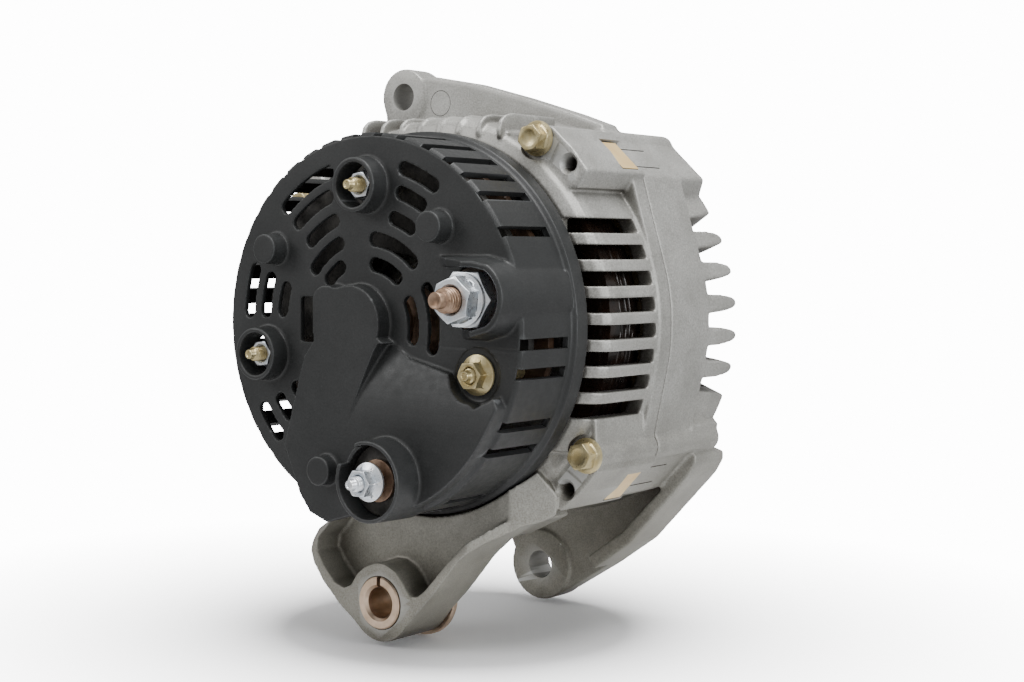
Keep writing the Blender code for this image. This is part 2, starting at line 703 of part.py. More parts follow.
def rectifier(parent):
    holes = [rod(3.2, 5.0, 40.0, place, 12) for place in COVER_STUDS]
    plate = prism(horseshoe(56.0, 24.0, -8, 188), 13.0, 16.0)
    solid("rectifier_plate_positive", plate, CAST_ALUMINIUM, parent, cut=holes)
    holes = [rod(3.2, 5.0, 40.0, place, 12) for place in COVER_STUDS]
    plate = prism(horseshoe(59.0, 24.0, -8, 188), 26.0, 29.0)
    solid("rectifier_plate_negative", plate, CAST_ALUMINIUM, parent, cut=holes)
    holes = [rod(3.2, 5.0, 40.0, place, 12) for place in COVER_STUDS]
    board = prism(horseshoe(57.5, 30.0, -30, 205), 22.0, 25.0)
    solid("rectifier_terminal_board", board, BROWN_RESIN, parent, cut=holes)
    for number, angle in enumerate((35, 70, 150), 1):
        diode(number, angle, 43.0, 16.3, parent)
        diode(number + 3, angle, 43.0, 29.3, parent)


def regulator(parent):
    """The finned block beside the brush holder, with the boss that carries the phase terminal."""
    outline = [(-27.0, -14.0), (-9.6, -14.0), (-9.6, -45.5), (10.0, -45.5), (30.0, -40.0)]
    outline += [(30.0, -50.0), (20.0, -56.0), (6.0, -59.0), (-14.0, -57.5), (-25.0, -50.0)]
    boss = [rod(PHASE_COLLAR_R - 2.0, -9.5, 0.5, PHASE_TERMINAL, 24)]
    boss.append(rod(4.9, 0.0, 14.0, PHASE_TERMINAL, 12))
    cut = [block((-24.0, 12.0, z), (-12.0, 16.0, z + 2.0)) for z in (-20.0, -26.0, -32.0, -38.0)]
    cut.append(rod(2.7, -10.5, 0.0, PHASE_TERMINAL, 12))
    solid("regulator", prism(outline, 13.0, 25.0), CAST_ALUMINIUM, parent, boss, cut)


def brush_holder(parent):
    cut = [
        block((-3.3, start - 0.3, -60.0), (3.3, start + SLIP_RING_WIDTH + 0.3, -10.0))
        for start in SLIP_RINGS
    ]
    floor = [block((-9.3, 6.0, -45.2), (9.3, 26.0, -43.2))]
    body = block((-9.3, 6.0, -44.0), (9.3, 26.0, -15.0))
    holder = solid("brush_holder", body, BLACK_PLASTIC, parent, cut=cut)
    plate = holder.modifiers.new("Floor", "BOOLEAN")
    plate.operation = "UNION"
    plate.operand_type = "COLLECTION"
    plate.collection = helpers("brush_holder_floor", floor, parent)


def brush(name, start, parent):
    """A carbon brush under its slip ring, with its face hollowed to the ring."""
    low, high = start + 0.3, start + SLIP_RING_WIDTH - 0.3
    body = block((-2.9, low, -29.0), (2.9, high, -12.0))
    face = [rod(SLIP_RING_R + GAP, low - 1.0, high + 1.0, steps=48)]
    return solid(name, body, CARBON, parent, cut=face)


def spring(name, start, parent):
    """The coil spring that presses a brush on its ring."""
    turns, steps, low, high = 5, 8, -42.6, -29.9
    middle = start + SLIP_RING_WIDTH / 2
    curve = bpy.data.curves.new(name, "CURVE")
    curve.dimensions = "3D"
    curve.bevel_depth = 0.35 * MM
    curve.bevel_resolution = 0
    curve.use_fill_caps = True
    line = curve.splines.new("POLY")
    line.points.add(turns * steps)
    for i, point in enumerate(line.points):
        x, y = polar(2.2, 360 * i / steps)
        z = low + (high - low) * i / (turns * steps)
        point.co = (x * MM, (middle + y) * MM, z * MM, 1.0)
    made = bpy.data.objects.new(name, curve)
    made.parent = parent
    bpy.context.scene.collection.objects.link(made)
    curve.materials.append(material(name, STEEL))


# The stator


def stator_core(parent):
    lobes = [core_lobe(73.8, 5.6, CORE_START, CORE_END, a) for a in CORNERS]
    lobes += [lobe_tab(a) for a in CORNERS]
    half = CORE_SLOT_WIDTH / 2
    low = (CORE_BORE_R - 2.0, CORE_START - 1.0, -half)
    high = (CORE_SLOT_R, CORE_END + 1.0, half)
    slots = [rolled(block(low, high), i * 360 / CORE_SLOTS) for i in range(CORE_SLOTS)]
    base = ring(CORE_R - 0.2, CORE_BORE_R, CORE_START, CORE_END, 36)
    return solid("stator_core", base, LAMINATION, parent, lobes, slots)


def stator_winding(parent):
    """Two end heads joined by the bars that lie in the core's slots."""
    low_r, high_r = 51.0, CORE_SLOT_R - 0.5
    half = CORE_SLOT_WIDTH / 2 - 0.4
    front = ring(high_r, low_r, CORE_END + GAP, WINDING_FRONT, 36)
    low = (low_r + 0.3, CORE_START - 2.0, -half)
    high = (high_r - 0.3, CORE_END + 2.0, half)
    bars = [rolled(block(low, high), i * 360 / CORE_SLOTS) for i in range(CORE_SLOTS)]
    rear = ring(high_r, low_r, WINDING_REAR, CORE_START - GAP, 36)
    return solid("stator_winding", rear, COPPER_WIRE, parent, [front] + bars)


# The rotor


def claw_finger(tip_y, root_y, plate_y):
    """One claw: an arm out from the plate and a finger that narrows along the rotor."""
    sections = ((root_y, 24.0, 12.5), (plate_y, 24.0, 12.5))
    shoulder = plate_y + (0.05 if tip_y > root_y else -0.05)
    sections += ((shoulder, 40.5, 12.0), (tip_y, 45.5, 4.5))
    loops = []
    for y, inner, half_angle in sections:
        outer = arc(ROTOR_R, -half_angle, half_angle, 3)
        inside = arc(inner, half_angle, -half_angle, 1)
        loops.append([(x, y, z) for x, z in outer + inside])
    return loft(loops)


def claw_pole(name, root_y, plate_y, tip_y, middle_y, turn, parent):
    hub = [(30.0, root_y), (30.0, plate_y), (15.0, plate_y), (15.0, middle_y)]
    hub += [(SHAFT_R + GAP, middle_y), (SHAFT_R + GAP, root_y)]
    pitch = 360 / POLE_COUNT
    fingers = [
        rolled(claw_finger(tip_y, root_y, plate_y), turn + pitch * i) for i in range(POLE_COUNT)
    ]
    solid(name, turned(hub, 28), STEEL, parent, fingers)


def fan(name, plate_y, tip_y, parent):
    """A thin disc with blades that lean back from the turn."""
    step = 1.5 if tip_y < plate_y else -1.5
    low, high = sorted((plate_y + step * 0.5, tip_y))
    blades = []
    for i in range(FAN_BLADES):
        blade = block((0.0, low, -0.8), (17.0, high, 0.8))
        bmesh.ops.rotate(blade, cent=(0, 0, 0), matrix=Matrix.Rotation(0.6, 3, "Y"), verts=blade.verts)
        bmesh.ops.translate(blade, vec=(30.0, 0, 3.0), verts=blade.verts)
        blades.append(rolled(blade, i * 360 / FAN_BLADES))
    low, high = sorted((plate_y, plate_y + step))
    disc = ring(FAN_R, SHAFT_R + GAP, low, high, 28)
    solid(name, disc, STEEL, parent, blades)


def field_coil(parent):
    start = POLE_START + POLE_PLATE + GAP
    end = POLE_END - POLE_PLATE - GAP
    spool = [(38.0, start), (38.0, start + 1.2), (16.6, start + 1.2), (16.6, end - 1.2)]
    spool += [(38.0, end - 1.2), (38.0, end), (15.3, end), (15.3, start)]
    solid("coil_bobbin", turned(spool, 24), BROWN_RESIN, parent)
    coil = ring(37.0, 16.9, start + 1.5, end - 1.5, 24)
    solid("field_coil", coil, COPPER_WIRE, parent)


def shaft(parent):
    profile = [
        (0.0, SHAFT_START),
        (5.5, SHAFT_START),
        (6.5, SHAFT_START + 1.0),
        (6.5, 26.5),
        (7.5, 27.0),
        (7.5, 41.0),
        (SHAFT_R, 41.5),
        (SHAFT_R, 104.5),
        (8.5, 105.0),
        (8.5, 126.0),
        (8.0, 126.5),
        (8.0, SHAFT_END - 1.0),
        (7.0, SHAFT_END),
        (0.0, SHAFT_END),
    ]
    socket = [prism(hexagon(8.0), SHAFT_END - 9.0, SHAFT_END + 1.0)]
    return solid("shaft", turned(profile, 20), STEEL, parent, cut=socket)


def slip_rings(parent):
    profile = [(6.8, 7.0), (12.8, 7.0)]
    for start in SLIP_RINGS:
        end = start + SLIP_RING_WIDTH + GAP
        profile += [(12.8, start - GAP), (10.0, start - GAP), (10.0, end), (12.8, end)]
    profile += [(12.8, 25.5), (6.8, 25.5)]
    solid("slip_ring_hub", turned(profile, 20), BROWN_RESIN, parent)
    for name, start in zip(("slip_ring_outer", "slip_ring_inner"), SLIP_RINGS):
        body = ring(SLIP_RING_R, 10.3, start, start + SLIP_RING_WIDTH, 24)
        solid(name, body, COPPER, parent)


def pulley(parent):
    start, end = PULLEY_Y
    first = start + 1.2
    profile = [(8.3, start), (PULLEY_R, start), (PULLEY_R, first)]
    for i in range(PULLEY_GROOVES):
        y = first + i * PULLEY_PITCH
        profile.append((PULLEY_R - 3.0, y + PULLEY_PITCH * 0.5))
        profile.append((PULLEY_R, y + PULLEY_PITCH * 0.94))
        profile.append((PULLEY_R, y + PULLEY_PITCH))
    profile += [(PULLEY_R, end), (20.0, end), (18.0, end - 7.0), (8.3, end - 7.0)]
    solid("pulley", turned(profile, 28), STEEL, parent)
    spacer = ring(12.0, 8.8, FRONT_BEARING[1] + GAP, start - GAP, 20)
    solid("pulley_spacer", spacer, STEEL, parent)
    nut_y = (end - 7.0 + GAP, end + 4.0)
    hex_nut("pulley_nut", (0.0, 0.0), 24.0, *nut_y, 8.3, STEEL, parent, flange=15.5)


# Bearings


def ball(radius, centre_r, y, angle):
    bm = bmesh.new()
    bmesh.ops.create_uvsphere(bm, u_segments=6, v_segments=4, radius=radius)
    x, z = polar(centre_r, angle)
    bmesh.ops.translate(bm, vec=(x, y, z), verts=bm.verts)
    return bm


def bearing(name, span, radii, ball_r, balls, outer_parent, inner_parent, cage_parent):
    """Two races and, between them, the balls in their cage as one turning body."""
    bore, inner, outer, outside = radii
    solid(f"{name}_inner_race", ring(inner, bore, *span, 20), STEEL, inner_parent)
    solid(f"{name}_outer_race", ring(outside, outer, *span, 24), STEEL, outer_parent)
    middle = (span[0] + span[1]) / 2
    centre_r = (inner + outer) / 2
    cage = ring(centre_r + 0.8, centre_r - 0.8, middle - 1.0, middle + 1.0, 16)
    shapes = [ball(ball_r, centre_r, middle, i * 360 / balls) for i in range(balls)]
    solid(f"{name}_ball_cage", cage, STEEL, cage_parent, shapes)


def pivot_bush(parent):
    """The split bush that slides in the rear lug until its flange meets the engine bracket."""
    start, flange = REAR_LUG_Y - 0.5, REAR_LUG_END_Y + GAP
    end = flange + BUSH_FLANGE
    profile = [(5.9, start), (BUSH_R, start), (BUSH_R, flange), (BUSH_FLANGE_R, flange)]
    profile += [(BUSH_FLANGE_R, end), (5.3, end), (5.3, start + 0.8)]
    x, z = PIVOT
    slit = [block((x - 1.0, 0.0, z), (x + 1.0, 60.0, z + 20.0))]
    solid("pivot_bush", turned(profile, 24, PIVOT), BRONZE, parent, cut=slit)


def main():
    clear_scene()
    pivot_x, pivot_z = PIVOT
    housing = axis_empty("shaft_axis", (-pivot_x, -PIVOT_PAD_Y, -pivot_z))
    rotor = axis_empty("rotor_axis", (0, 0, 0), housing)
    rear_cage = axis_empty("rear_cage_axis", (0, 0, 0), housing)
    front_cage = axis_empty("front_cage_axis", (0, 0, 0), housing)
    rear_cover(housing)
    rear_frame(housing)
    front_frame(housing)
    fasteners(housing)
    terminals(housing)
    rectifier(housing)
    regulator(housing)
    brush_holder(housing)
    for name, start in zip(("outer", "inner"), SLIP_RINGS):
        brush(f"brush_{name}", start, housing)
        spring(f"brush_spring_{name}", start, housing)
    stator_core(housing)
    stator_winding(housing)
    middle = (POLE_START + POLE_END) / 2
    claw_pole("claw_pole_rear", POLE_START, POLE_START + POLE_PLATE, 98.5, middle - GAP, 0, rotor)
    claw_pole("claw_pole_front", POLE_END, POLE_END - POLE_PLATE, 65.5, middle + GAP, 30, rotor)
    field_coil(rotor)
    fan("fan_rear", POLE_START - 1.8, 52.0, rotor)
    fan("fan_front", POLE_END + 1.8, 111.5, rotor)
    shaft(rotor)
    slip_rings(rotor)
    pulley(rotor)
    rear_radii = (7.8, 10.4, 14.4, 17.5)
    bearing("rear_bearing", REAR_BEARING, rear_radii, 1.85, 8, housing, rotor, rear_cage)
    front_radii = (8.8, 11.8, 17.0, 20.0)
    bearing("front_bearing", FRONT_BEARING, front_radii, 2.45, 7, housing, rotor, front_cage)
    retainer = ring(26.0, 14.0, FRONT_BEARING[0] - 2.8, FRONT_BEARING[0] - 0.8, 24)
    solid("front_bearing_retainer", retainer, STEEL, housing)
    pivot_bush(housing)


main()
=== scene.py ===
"""The car alternator's finished look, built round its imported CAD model.

Shapes are drawn in millimetres about the shaft, as the CAD source draws them: y runs along the
shaft from the rear cover's face at 0 towards the pulley, x is to the right and z is up for someone
who looks at the cover. put() moves a finished mesh into the row frame, in metres.
"""

import json
import math
import random

import bmesh
import bpy
from mathutils import Matrix, Vector


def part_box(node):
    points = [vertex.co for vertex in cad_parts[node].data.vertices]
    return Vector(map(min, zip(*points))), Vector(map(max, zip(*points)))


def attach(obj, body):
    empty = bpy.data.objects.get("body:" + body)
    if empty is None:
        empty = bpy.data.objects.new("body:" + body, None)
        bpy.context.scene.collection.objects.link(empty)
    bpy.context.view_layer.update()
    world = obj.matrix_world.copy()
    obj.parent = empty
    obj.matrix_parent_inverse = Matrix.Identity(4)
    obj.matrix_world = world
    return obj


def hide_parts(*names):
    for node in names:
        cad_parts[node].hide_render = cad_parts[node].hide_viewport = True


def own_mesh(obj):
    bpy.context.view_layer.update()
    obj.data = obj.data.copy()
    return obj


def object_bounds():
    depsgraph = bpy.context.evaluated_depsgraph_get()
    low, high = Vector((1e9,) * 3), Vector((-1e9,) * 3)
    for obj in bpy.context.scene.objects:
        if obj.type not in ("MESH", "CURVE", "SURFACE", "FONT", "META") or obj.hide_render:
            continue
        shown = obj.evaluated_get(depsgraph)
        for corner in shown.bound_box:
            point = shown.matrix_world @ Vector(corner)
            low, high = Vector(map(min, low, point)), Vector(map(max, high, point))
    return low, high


MM = 0.001

# Rear cover
COVER_R = 62.5
COVER_RIM_R = 64.2
COVER_DEPTH = 33.0
COVER_WALL = 2.0
PLATEAU = 6.0
COLLAR = 7.0
SHROUD = 9.5
RAMP_TOP = -5.0
RAMP_LOW = -31.0
RAMP_LEVELS = 14
PHASE_COLLAR = 16.5
PHASE_COLLAR_R = 13.3
SKIRT_SLOT_WIDTH = 3.6
SKIRT_SLOT_END = 26.0
SKIRT_SLOT_ANGLES = (29.5, 42.0, 50.0, 58.0, 67.0, 77.0, -3.5, -12.0, -28.3, -37.4)
LOW_SLOT_ANGLES = (-62.0, -72.0)
SKIRT_SLOT_PITCH = 8.2
FACE_SLOT_WIDTH = 4.6
FACE_SLOTS = (  # radius, first angle, last angle
    (52.6, 106, 135), (45.1, 109, 135), (36.9, 109, 135), (29.2, 110, 145), (22.0, 115, 143),
    (52.8, 56, 75.5), (45.1, 57, 74.5), (36.6, 56.5, 75.5), (28.4, 43, 88), (20.3, 45, 87),
    (19.5, -16, 30.5), (28.0, -17, 31), (53.1, 158, 178.5), (45.4, 158, 178), (37.6, 158.5, 177),
    (54.5, -150, -134), (46.3, -149, -136), (37.8, -149, -139),
)

# Housing halves
BODY_R = 69.8
BODY_BORE_R = 64.0
FLANGE_R = 70.5
CORNER_FACE = 76.5
CORNER_HALF = 9.0
CORNER_ANGLE = 47.3
REAR_WALL_Y = 35.0
CORNER_BOSS_Y = 38.0
SEAT_Y = 66.3
SEAM_Y = 73.0
VENT_Y = 98.0
FRONT_CORNER_Y = 114.0
FRONT_FACE_Y = 121.0
GAP = 0.3
CORNERS = (45, 135, 225, 315)
BOLT_R = 73.5
BOLT_ANGLES = (56.3, 146.3, 236.3, 326.3)
SPARE_HOLE_R = 74.5
REAR_VENT_PITCH = 8.5
REAR_VENT_WIDTH = 4.7
REAR_VENT_SHIFTS = {0: 3.2, 90: -0.85, 180: 3.2}
TOP_VENT_START = 53.0
FRONT_VENT_PITCH = 9.38  # degrees
FRONT_VENT_LEVELS = (  # y, half the vent's angle
    (98.5, 1.9), (107.0, 2.3), (111.5, 2.8), (114.5, 3.3), (117.0, 3.9), (119.0, 4.6), (124.0, 5.2),
)
FRONT_VENT_MIDDLE = 5.65
CORE_R = 67.8
CORE_LOBE_START = 60.8
CORE_TAB_END = 70.6

# Lugs
PIVOT = (-7.3, -93.6)
PIVOT_PAD_Y = 107.0
PIVOT_HOLE_R = 5.2
REAR_LUG_Y = 15.0
REAR_LUG_END_Y = 37.0
LUG_FLOOR_Y = 27.0
TOP_LUG = (-47.5, 81.2)
TOP_LUG_Y = 74.0
TOP_LUG_DEPTH = 11.0
TOP_HOLE_R = 5.0
BUSH_R = 8.85
BUSH_FLANGE_R = 14.4
BUSH_FLANGE = 2.2

# Stator, shaft and pulley
CORE_SLOTS = 36
CORE_START = 66.6
CORE_END = 97.4
WINDING_REAR = 50.0
WINDING_FRONT = 112.0
WIRE_R = 0.75
WIRE_LAYERS = ((6, 60.2), (7, 52.2))  # waves in a turn, and radius
WIRE_LEVELS = 11
SHAFT_R = 8.7
SHAFT_START = 6.0
SHAFT_END = 158.0
PULLEY_R = 27.5
PULLEY_Y = (126.4, 150.0)
PULLEY_GROOVES = 6
PULLEY_PITCH = 3.56
PULLEY_GROOVE = ((24.7, 0.42), (24.7, 0.54), (27.35, 0.93), (27.35, 1.0))  # radius, share of pitch
REAR_BEARING = (28.5, 39.5)
FRONT_BEARING = (106.0, 118.0)

# Brush springs
SPRING_PLACES = {"outer": 11.5, "inner": 20.5}  # each spring's axis along the shaft
SPRING_R = 2.2
SPRING_WIRE_R = 0.35
SPRING_TURNS = 5
SPRING_STEPS = 24
SPRING_ENDS = (-42.6, -29.9)

# Looks
STEELS = {"steel": (0.46, 0.46, 0.47), "dark_steel": (0.22, 0.215, 0.21)}
PLATINGS = {  # two tints and a roughness
    "yellow_zinc": ((0.44, 0.35, 0.17), (0.58, 0.50, 0.29), 0.32),
    "white_zinc": ((0.66, 0.72, 0.78), (0.86, 0.88, 0.90), 0.31),
    "copper_stud": ((0.22, 0.14, 0.09), (0.42, 0.29, 0.21), 0.40),
}
# For CAD nodes inside, by their slot; the aluminium and steel ones get darker copies, painted shade for the shadow
# inside the housing
INNER_LOOKS = {"cast_aluminium": "shade_dark_aluminium", "copper": "copper_stud", "steel": "dark_steel"}

# Light and camera
WORLD_LIGHT = 0.55
WORLD_SEEN = 14.0
MIDDLE = (0.0, -0.05, 0.08)  # where the lights point, in metres
LIGHTS = (  # name, place in metres, size, power, colour if not white
    ("top_light", (0.25, -0.15, 1.1), 0.9, 16.0),
    ("front_light", (-0.9, -1.0, 0.8), 0.7, 6.5),
    ("side_light", (1.3, -0.25, 0.35), 0.7, 8.5, (0.95, 0.98, 1.0)),
)
FLOOR_R = 0.3
CAMERA_PLACE = (375.64, -424.67, 25.87)
CAMERA_ANGLES = (36.73, 3.07, 0.35)  # heading, pitch and roll
CAMERA_LENS = 61.52

# Terminals and cover studs, as places on the cover's face
B_PLUS = (45.5, 9.8)
D_PLUS = (45.5, -13.6)
PHASE_TERMINAL = (14.5, -47.8)
COVER_STUDS = ((0.0, 45.5), (-43.9, -10.4))
COVER_PEGS = ((-40.0, 24.8), (30.5, 32.1))
PLATEAU_PEG = (-11.5, -46.9)

# Fasteners
SMALL_THREAD = (2.4, 0.8)  # radius and pitch
BATTERY_THREAD = (4.0, 1.25)
THREAD_STEPS = 40
SMALL_NUT = (8.0, 2.7)  # width across flats, and the bore's radius
BATTERY_NUT = (13.0, 4.3)
BASE_NUT = (17.0, 4.3)
# Each stud's place, the stud, and the nuts on it. Stud: node, thread, start, thread's end, end,
# look and slot. Nut: node, size, start, end, flange's radius or 0, turn, and look, also its slot.
TERMINALS = (
    (
        COVER_STUDS[0],
        ("cover_stud_1", SMALL_THREAD, -9.7, 4.0, 34.7, "yellow_zinc", "yellow_zinc"),
        ("cover_nut_1", SMALL_NUT, -4.0, 1.5, 5.6, 8.0, "white_zinc"),
    ),
    (
        COVER_STUDS[1],
        ("cover_stud_2", SMALL_THREAD, -9.7, 4.0, 34.7, "yellow_zinc", "yellow_zinc"),
        ("cover_nut_2", SMALL_NUT, -4.0, 1.5, 5.6, 8.0, "white_zinc"),
    ),
    (
        B_PLUS,
        ("b_plus_stud", BATTERY_THREAD, -21.0, -1.0, 12.7, "copper_stud", "copper"),
        ("b_plus_base_nut", BASE_NUT, -7.0, -1.0, 0.0, 0.0, "white_zinc"),
        ("b_plus_nut", BATTERY_NUT, -13.7, -7.3, 8.2, 20.0, "white_zinc"),
    ),
    (
        D_PLUS,
        ("d_plus_stud", SMALL_THREAD, -6.8, 2.0, 21.7, "yellow_zinc", "yellow_zinc"),
        ("d_plus_nut", SMALL_NUT, -4.7, 0.5, 6.4, 5.0, "yellow_zinc"),
    ),
    (
        PHASE_TERMINAL,
        ("phase_stud", SMALL_THREAD, -24.5, -9.0, -1.0, "white_zinc", "white_zinc"),
        ("phase_nut", SMALL_NUT, -20.6, -14.9, 6.2, 0.0, "white_zinc"),
    ),
)


# Shapes


def polar(radius, degrees):
    """The point at this radius and angle, counted from +x towards +z."""
    angle = math.radians(degrees)
    return radius * math.cos(angle), radius * math.sin(angle)


def arc(radius, first, last, steps, centre=(0.0, 0.0)):
    angles = [first + (last - first) * i / steps for i in range(steps + 1)]
    points = [polar(radius, a) for a in angles]
    return [(centre[0] + x, centre[1] + z) for x, z in points]


def round_steps(radius):
    return 24 + 2 * int(radius)


def circle(radius, centre=(0.0, 0.0), steps=None):
    """Points round a circle, without the first one again at the end."""
    return arc(radius, 0, 360, steps or round_steps(radius), centre)[:-1]


def hexagon(across_flats, centre=(0.0, 0.0), turn=0.0):
    """A hexagon's corners, the first of them at this angle."""
    return arc(across_flats / math.sqrt(3), turn, turn + 360, 6, centre)[:-1]


def slot_outline(radius, first, last, width):
    half = width / 2
    spread = math.degrees(half / radius)
    outer = arc(radius + half, first + spread, last - spread, 12)
    inner = arc(radius - half, last - spread, first + spread, 12)
    far = arc(half, last - spread, last - spread + 180, 8, polar(radius, last - spread))
    near = arc(half, first + spread + 180, first + spread + 360, 8, polar(radius, first + spread))
    return outer + far[1:-1] + inner + near[1:-1]


def housing_outline(round_r, corner_face, corner_half):
    """A circle with four flat-faced corners, joined to it by tangents."""
    reach = math.hypot(corner_face, corner_half)
    corner_angle = math.degrees(math.atan2(corner_half, corner_face))
    touch = 45 - corner_angle - math.degrees(math.acos(round_r / reach))
    points = []
    for quarter in (0, 90, 180, 270):
        corner = quarter + CORNER_ANGLE
        points += arc(round_r, corner - 45 - touch, corner - 45 + touch, 16)
        points.append(polar(reach, corner - corner_angle))
        points.append(polar(reach, corner + corner_angle))
    return points


def loft(loops):
    """A closed body through loops of equal length, with a face on the first and the last."""
    bm = bmesh.new()
    rows = [[bm.verts.new(p) for p in loop] for loop in loops]
    bm.faces.new(rows[0])
    bm.faces.new(rows[-1])
    for low, high in zip(rows, rows[1:]):
        for i in range(len(low)):
            j = (i + 1) % len(low)
            bm.faces.new((low[i], low[j], high[j], high[i]))
    bmesh.ops.recalc_face_normals(bm, faces=bm.faces)
    return bm


def prism(outline, start, end):
    """An outline of (x, z) points, extruded along the shaft."""
    return loft([[(x, y, z) for x, z in outline] for y in (start, end)])


def slab(outline, low, high):
    """An outline of (x, y) points, extruded upwards."""
    return loft([[(x, y, z) for x, y in outline] for z in (low, high)])


def rod(radius, start, end, centre=(0.0, 0.0)):
    return prism(circle(radius, centre), start, end)


def block(low, high):
    (x0, y0, z0), (x1, y1, z1) = low, high
    return prism([(x0, z0), (x1, z0), (x1, z1), (x0, z1)], y0, y1)


def turned(profile, centre=(0.0, 0.0), steps=None):
    """A closed (radius, y) profile turned about the y direction through centre."""
    steps = steps or round_steps(max(radius for radius, y in profile))
    bm = bmesh.new()
    rows = []
    for radius, y in profile:
        points = circle(radius, centre, steps) if radius else [centre]
        rows.append([bm.verts.new((x, y, z)) for x, z in points])
    for first, second in zip(rows, rows[1:] + rows[:1]):
        if len(first) == len(second) == 1:
            continue
        for i in range(steps):
            j = (i + 1) % steps
            corners = [first[i % len(first)], first[j % len(first)]]
            corners += [second[j % len(second)], second[i % len(second)]]
            bm.faces.new(list(dict.fromkeys(corners)))
    bmesh.ops.recalc_face_normals(bm, faces=bm.faces)
    return bm


def rolled(bm, degrees):
    turn = Matrix.Rotation(-math.radians(degrees), 3, "Y")
    bmesh.ops.rotate(bm, cent=(0, 0, 0), matrix=turn, verts=bm.verts)
    return bm


def at_corner(bm, angle):
    """The shape turned from the +x direction to a corner's flat."""
    return rolled(bm, angle + CORNER_ANGLE - 45)


# From shapes to pieces


def new_object(name, data):
    made = bpy.data.objects.new(name, data)
    bpy.context.scene.collection.objects.link(made)
    return made


def mesh_object(name, bm):
    """A new object with this shape, turned from millimetres into metres."""
    mesh = bpy.data.meshes.new(name)
    bmesh.ops.scale(bm, vec=(MM, MM, MM), verts=bm.verts)
    bm.to_mesh(mesh)
    bm.free()
    return new_object(name, mesh)


def applied(made):
    graph = bpy.context.evaluated_depsgraph_get()
    mesh = bpy.data.meshes.new_from_object(made.evaluated_get(graph), depsgraph=graph)
    made.modifiers.clear()
    made.data = mesh
    return made


def with_booleans(made, **operations):
    """The object joined to, cut by or trimmed to the shapes listed under each operation."""
    helpers = []
    for operation, shapes in operations.items():
        if not shapes:
            continue
        group = bpy.data.collections.new(made.name)
        for number, shape in enumerate(shapes):
            helper = mesh_object(f"{made.name}_{operation}_{number}", shape)
            group.objects.link(helper)
            helpers.append(helper)
        boolean = made.modifiers.new(operation, "BOOLEAN")
        boolean.operation = operation
        boolean.operand_type = "COLLECTION"
        boolean.collection = group
        boolean.solver = "MANIFOLD"
    applied(made)
    for helper in helpers:
        bpy.data.objects.remove(helper)
    return made


def combined(name, shape, add=(), cut=(), keep=()):
    """One shape with others joined to it, others cut from it, and others it is trimmed to."""
    return with_booleans(mesh_object(name, shape), UNION=add, DIFFERENCE=cut, INTERSECT=keep)


def combined_object(made, add, cut):
    """The same as combined(), on an object that is there already."""
    bm = bmesh.new()
    bm.from_mesh(made.data)
    bmesh.ops.scale(bm, vec=(1 / MM, 1 / MM, 1 / MM), verts=bm.verts)
    name = made.name
    bpy.data.objects.remove(made)
    return combined(name, bm, add, cut)


def softened(made, voxel, passes, most_faces):
    """The object with every edge rounded as in a mould: remeshed finely and smoothed."""
    voxel = voxel
    remesh = made.modifiers.new("Remesh", "REMESH")
    remesh.mode = "VOXEL"
    remesh.voxel_size = voxel * MM
    smooth = made.modifiers.new("Smooth", "SMOOTH")
    smooth.factor = 0.5
    smooth.iterations = passes
    applied(made)
    faces = 2 * len(made.data.polygons)
    if faces > most_faces:
        thin = made.modifiers.new("Thin", "DECIMATE")
        thin.ratio = most_faces / faces
        applied(made)
    made.data.shade_smooth()
    return made


def smoothed(made, angle):
    """The object shaded smooth across edges under this angle."""
    made.data.shade_smooth()
    made.data.set_sharp_from_angle(angle=math.radians(angle))
    return made


def machined(made, cut):
    """Sharp cuts in a softened piece, as a mill leaves them."""
    return smoothed(with_booleans(made, DIFFERENCE=cut), 50)


def shaded(made):
    """The object shaded smooth, with its flat faces kept flat."""
    smoothed(made, 35)
    normals = made.modifiers.new("Normals", "WEIGHTED_NORMAL")
    normals.keep_sharp = True
    normals.weight = 80
    return applied(made)


def add_bevel(made, width, limit):
    """Modifiers that round every edge sharper than this angle."""
    weld = made.modifiers.new("Weld", "WELD")
    weld.merge_threshold = 0.002 * MM
    edges = made.modifiers.new("Bevel", "BEVEL")
    edges.width = width * MM
    edges.segments = 2
    edges.angle_limit = math.radians(limit)


def crisp(made, bevel=0.15):
    add_bevel(made, bevel, 30)
    return shaded(applied(made))


def put(made, material, slot, body, *nodes):
    """Moves a finished piece into the row frame, where it stands for these CAD nodes."""
    made.data.transform(Matrix.Translation(SHAFT))
    made.data.materials.clear()
    made.data.materials.append(material)
    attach(made, body)
    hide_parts(*nodes)
    return made


# Materials


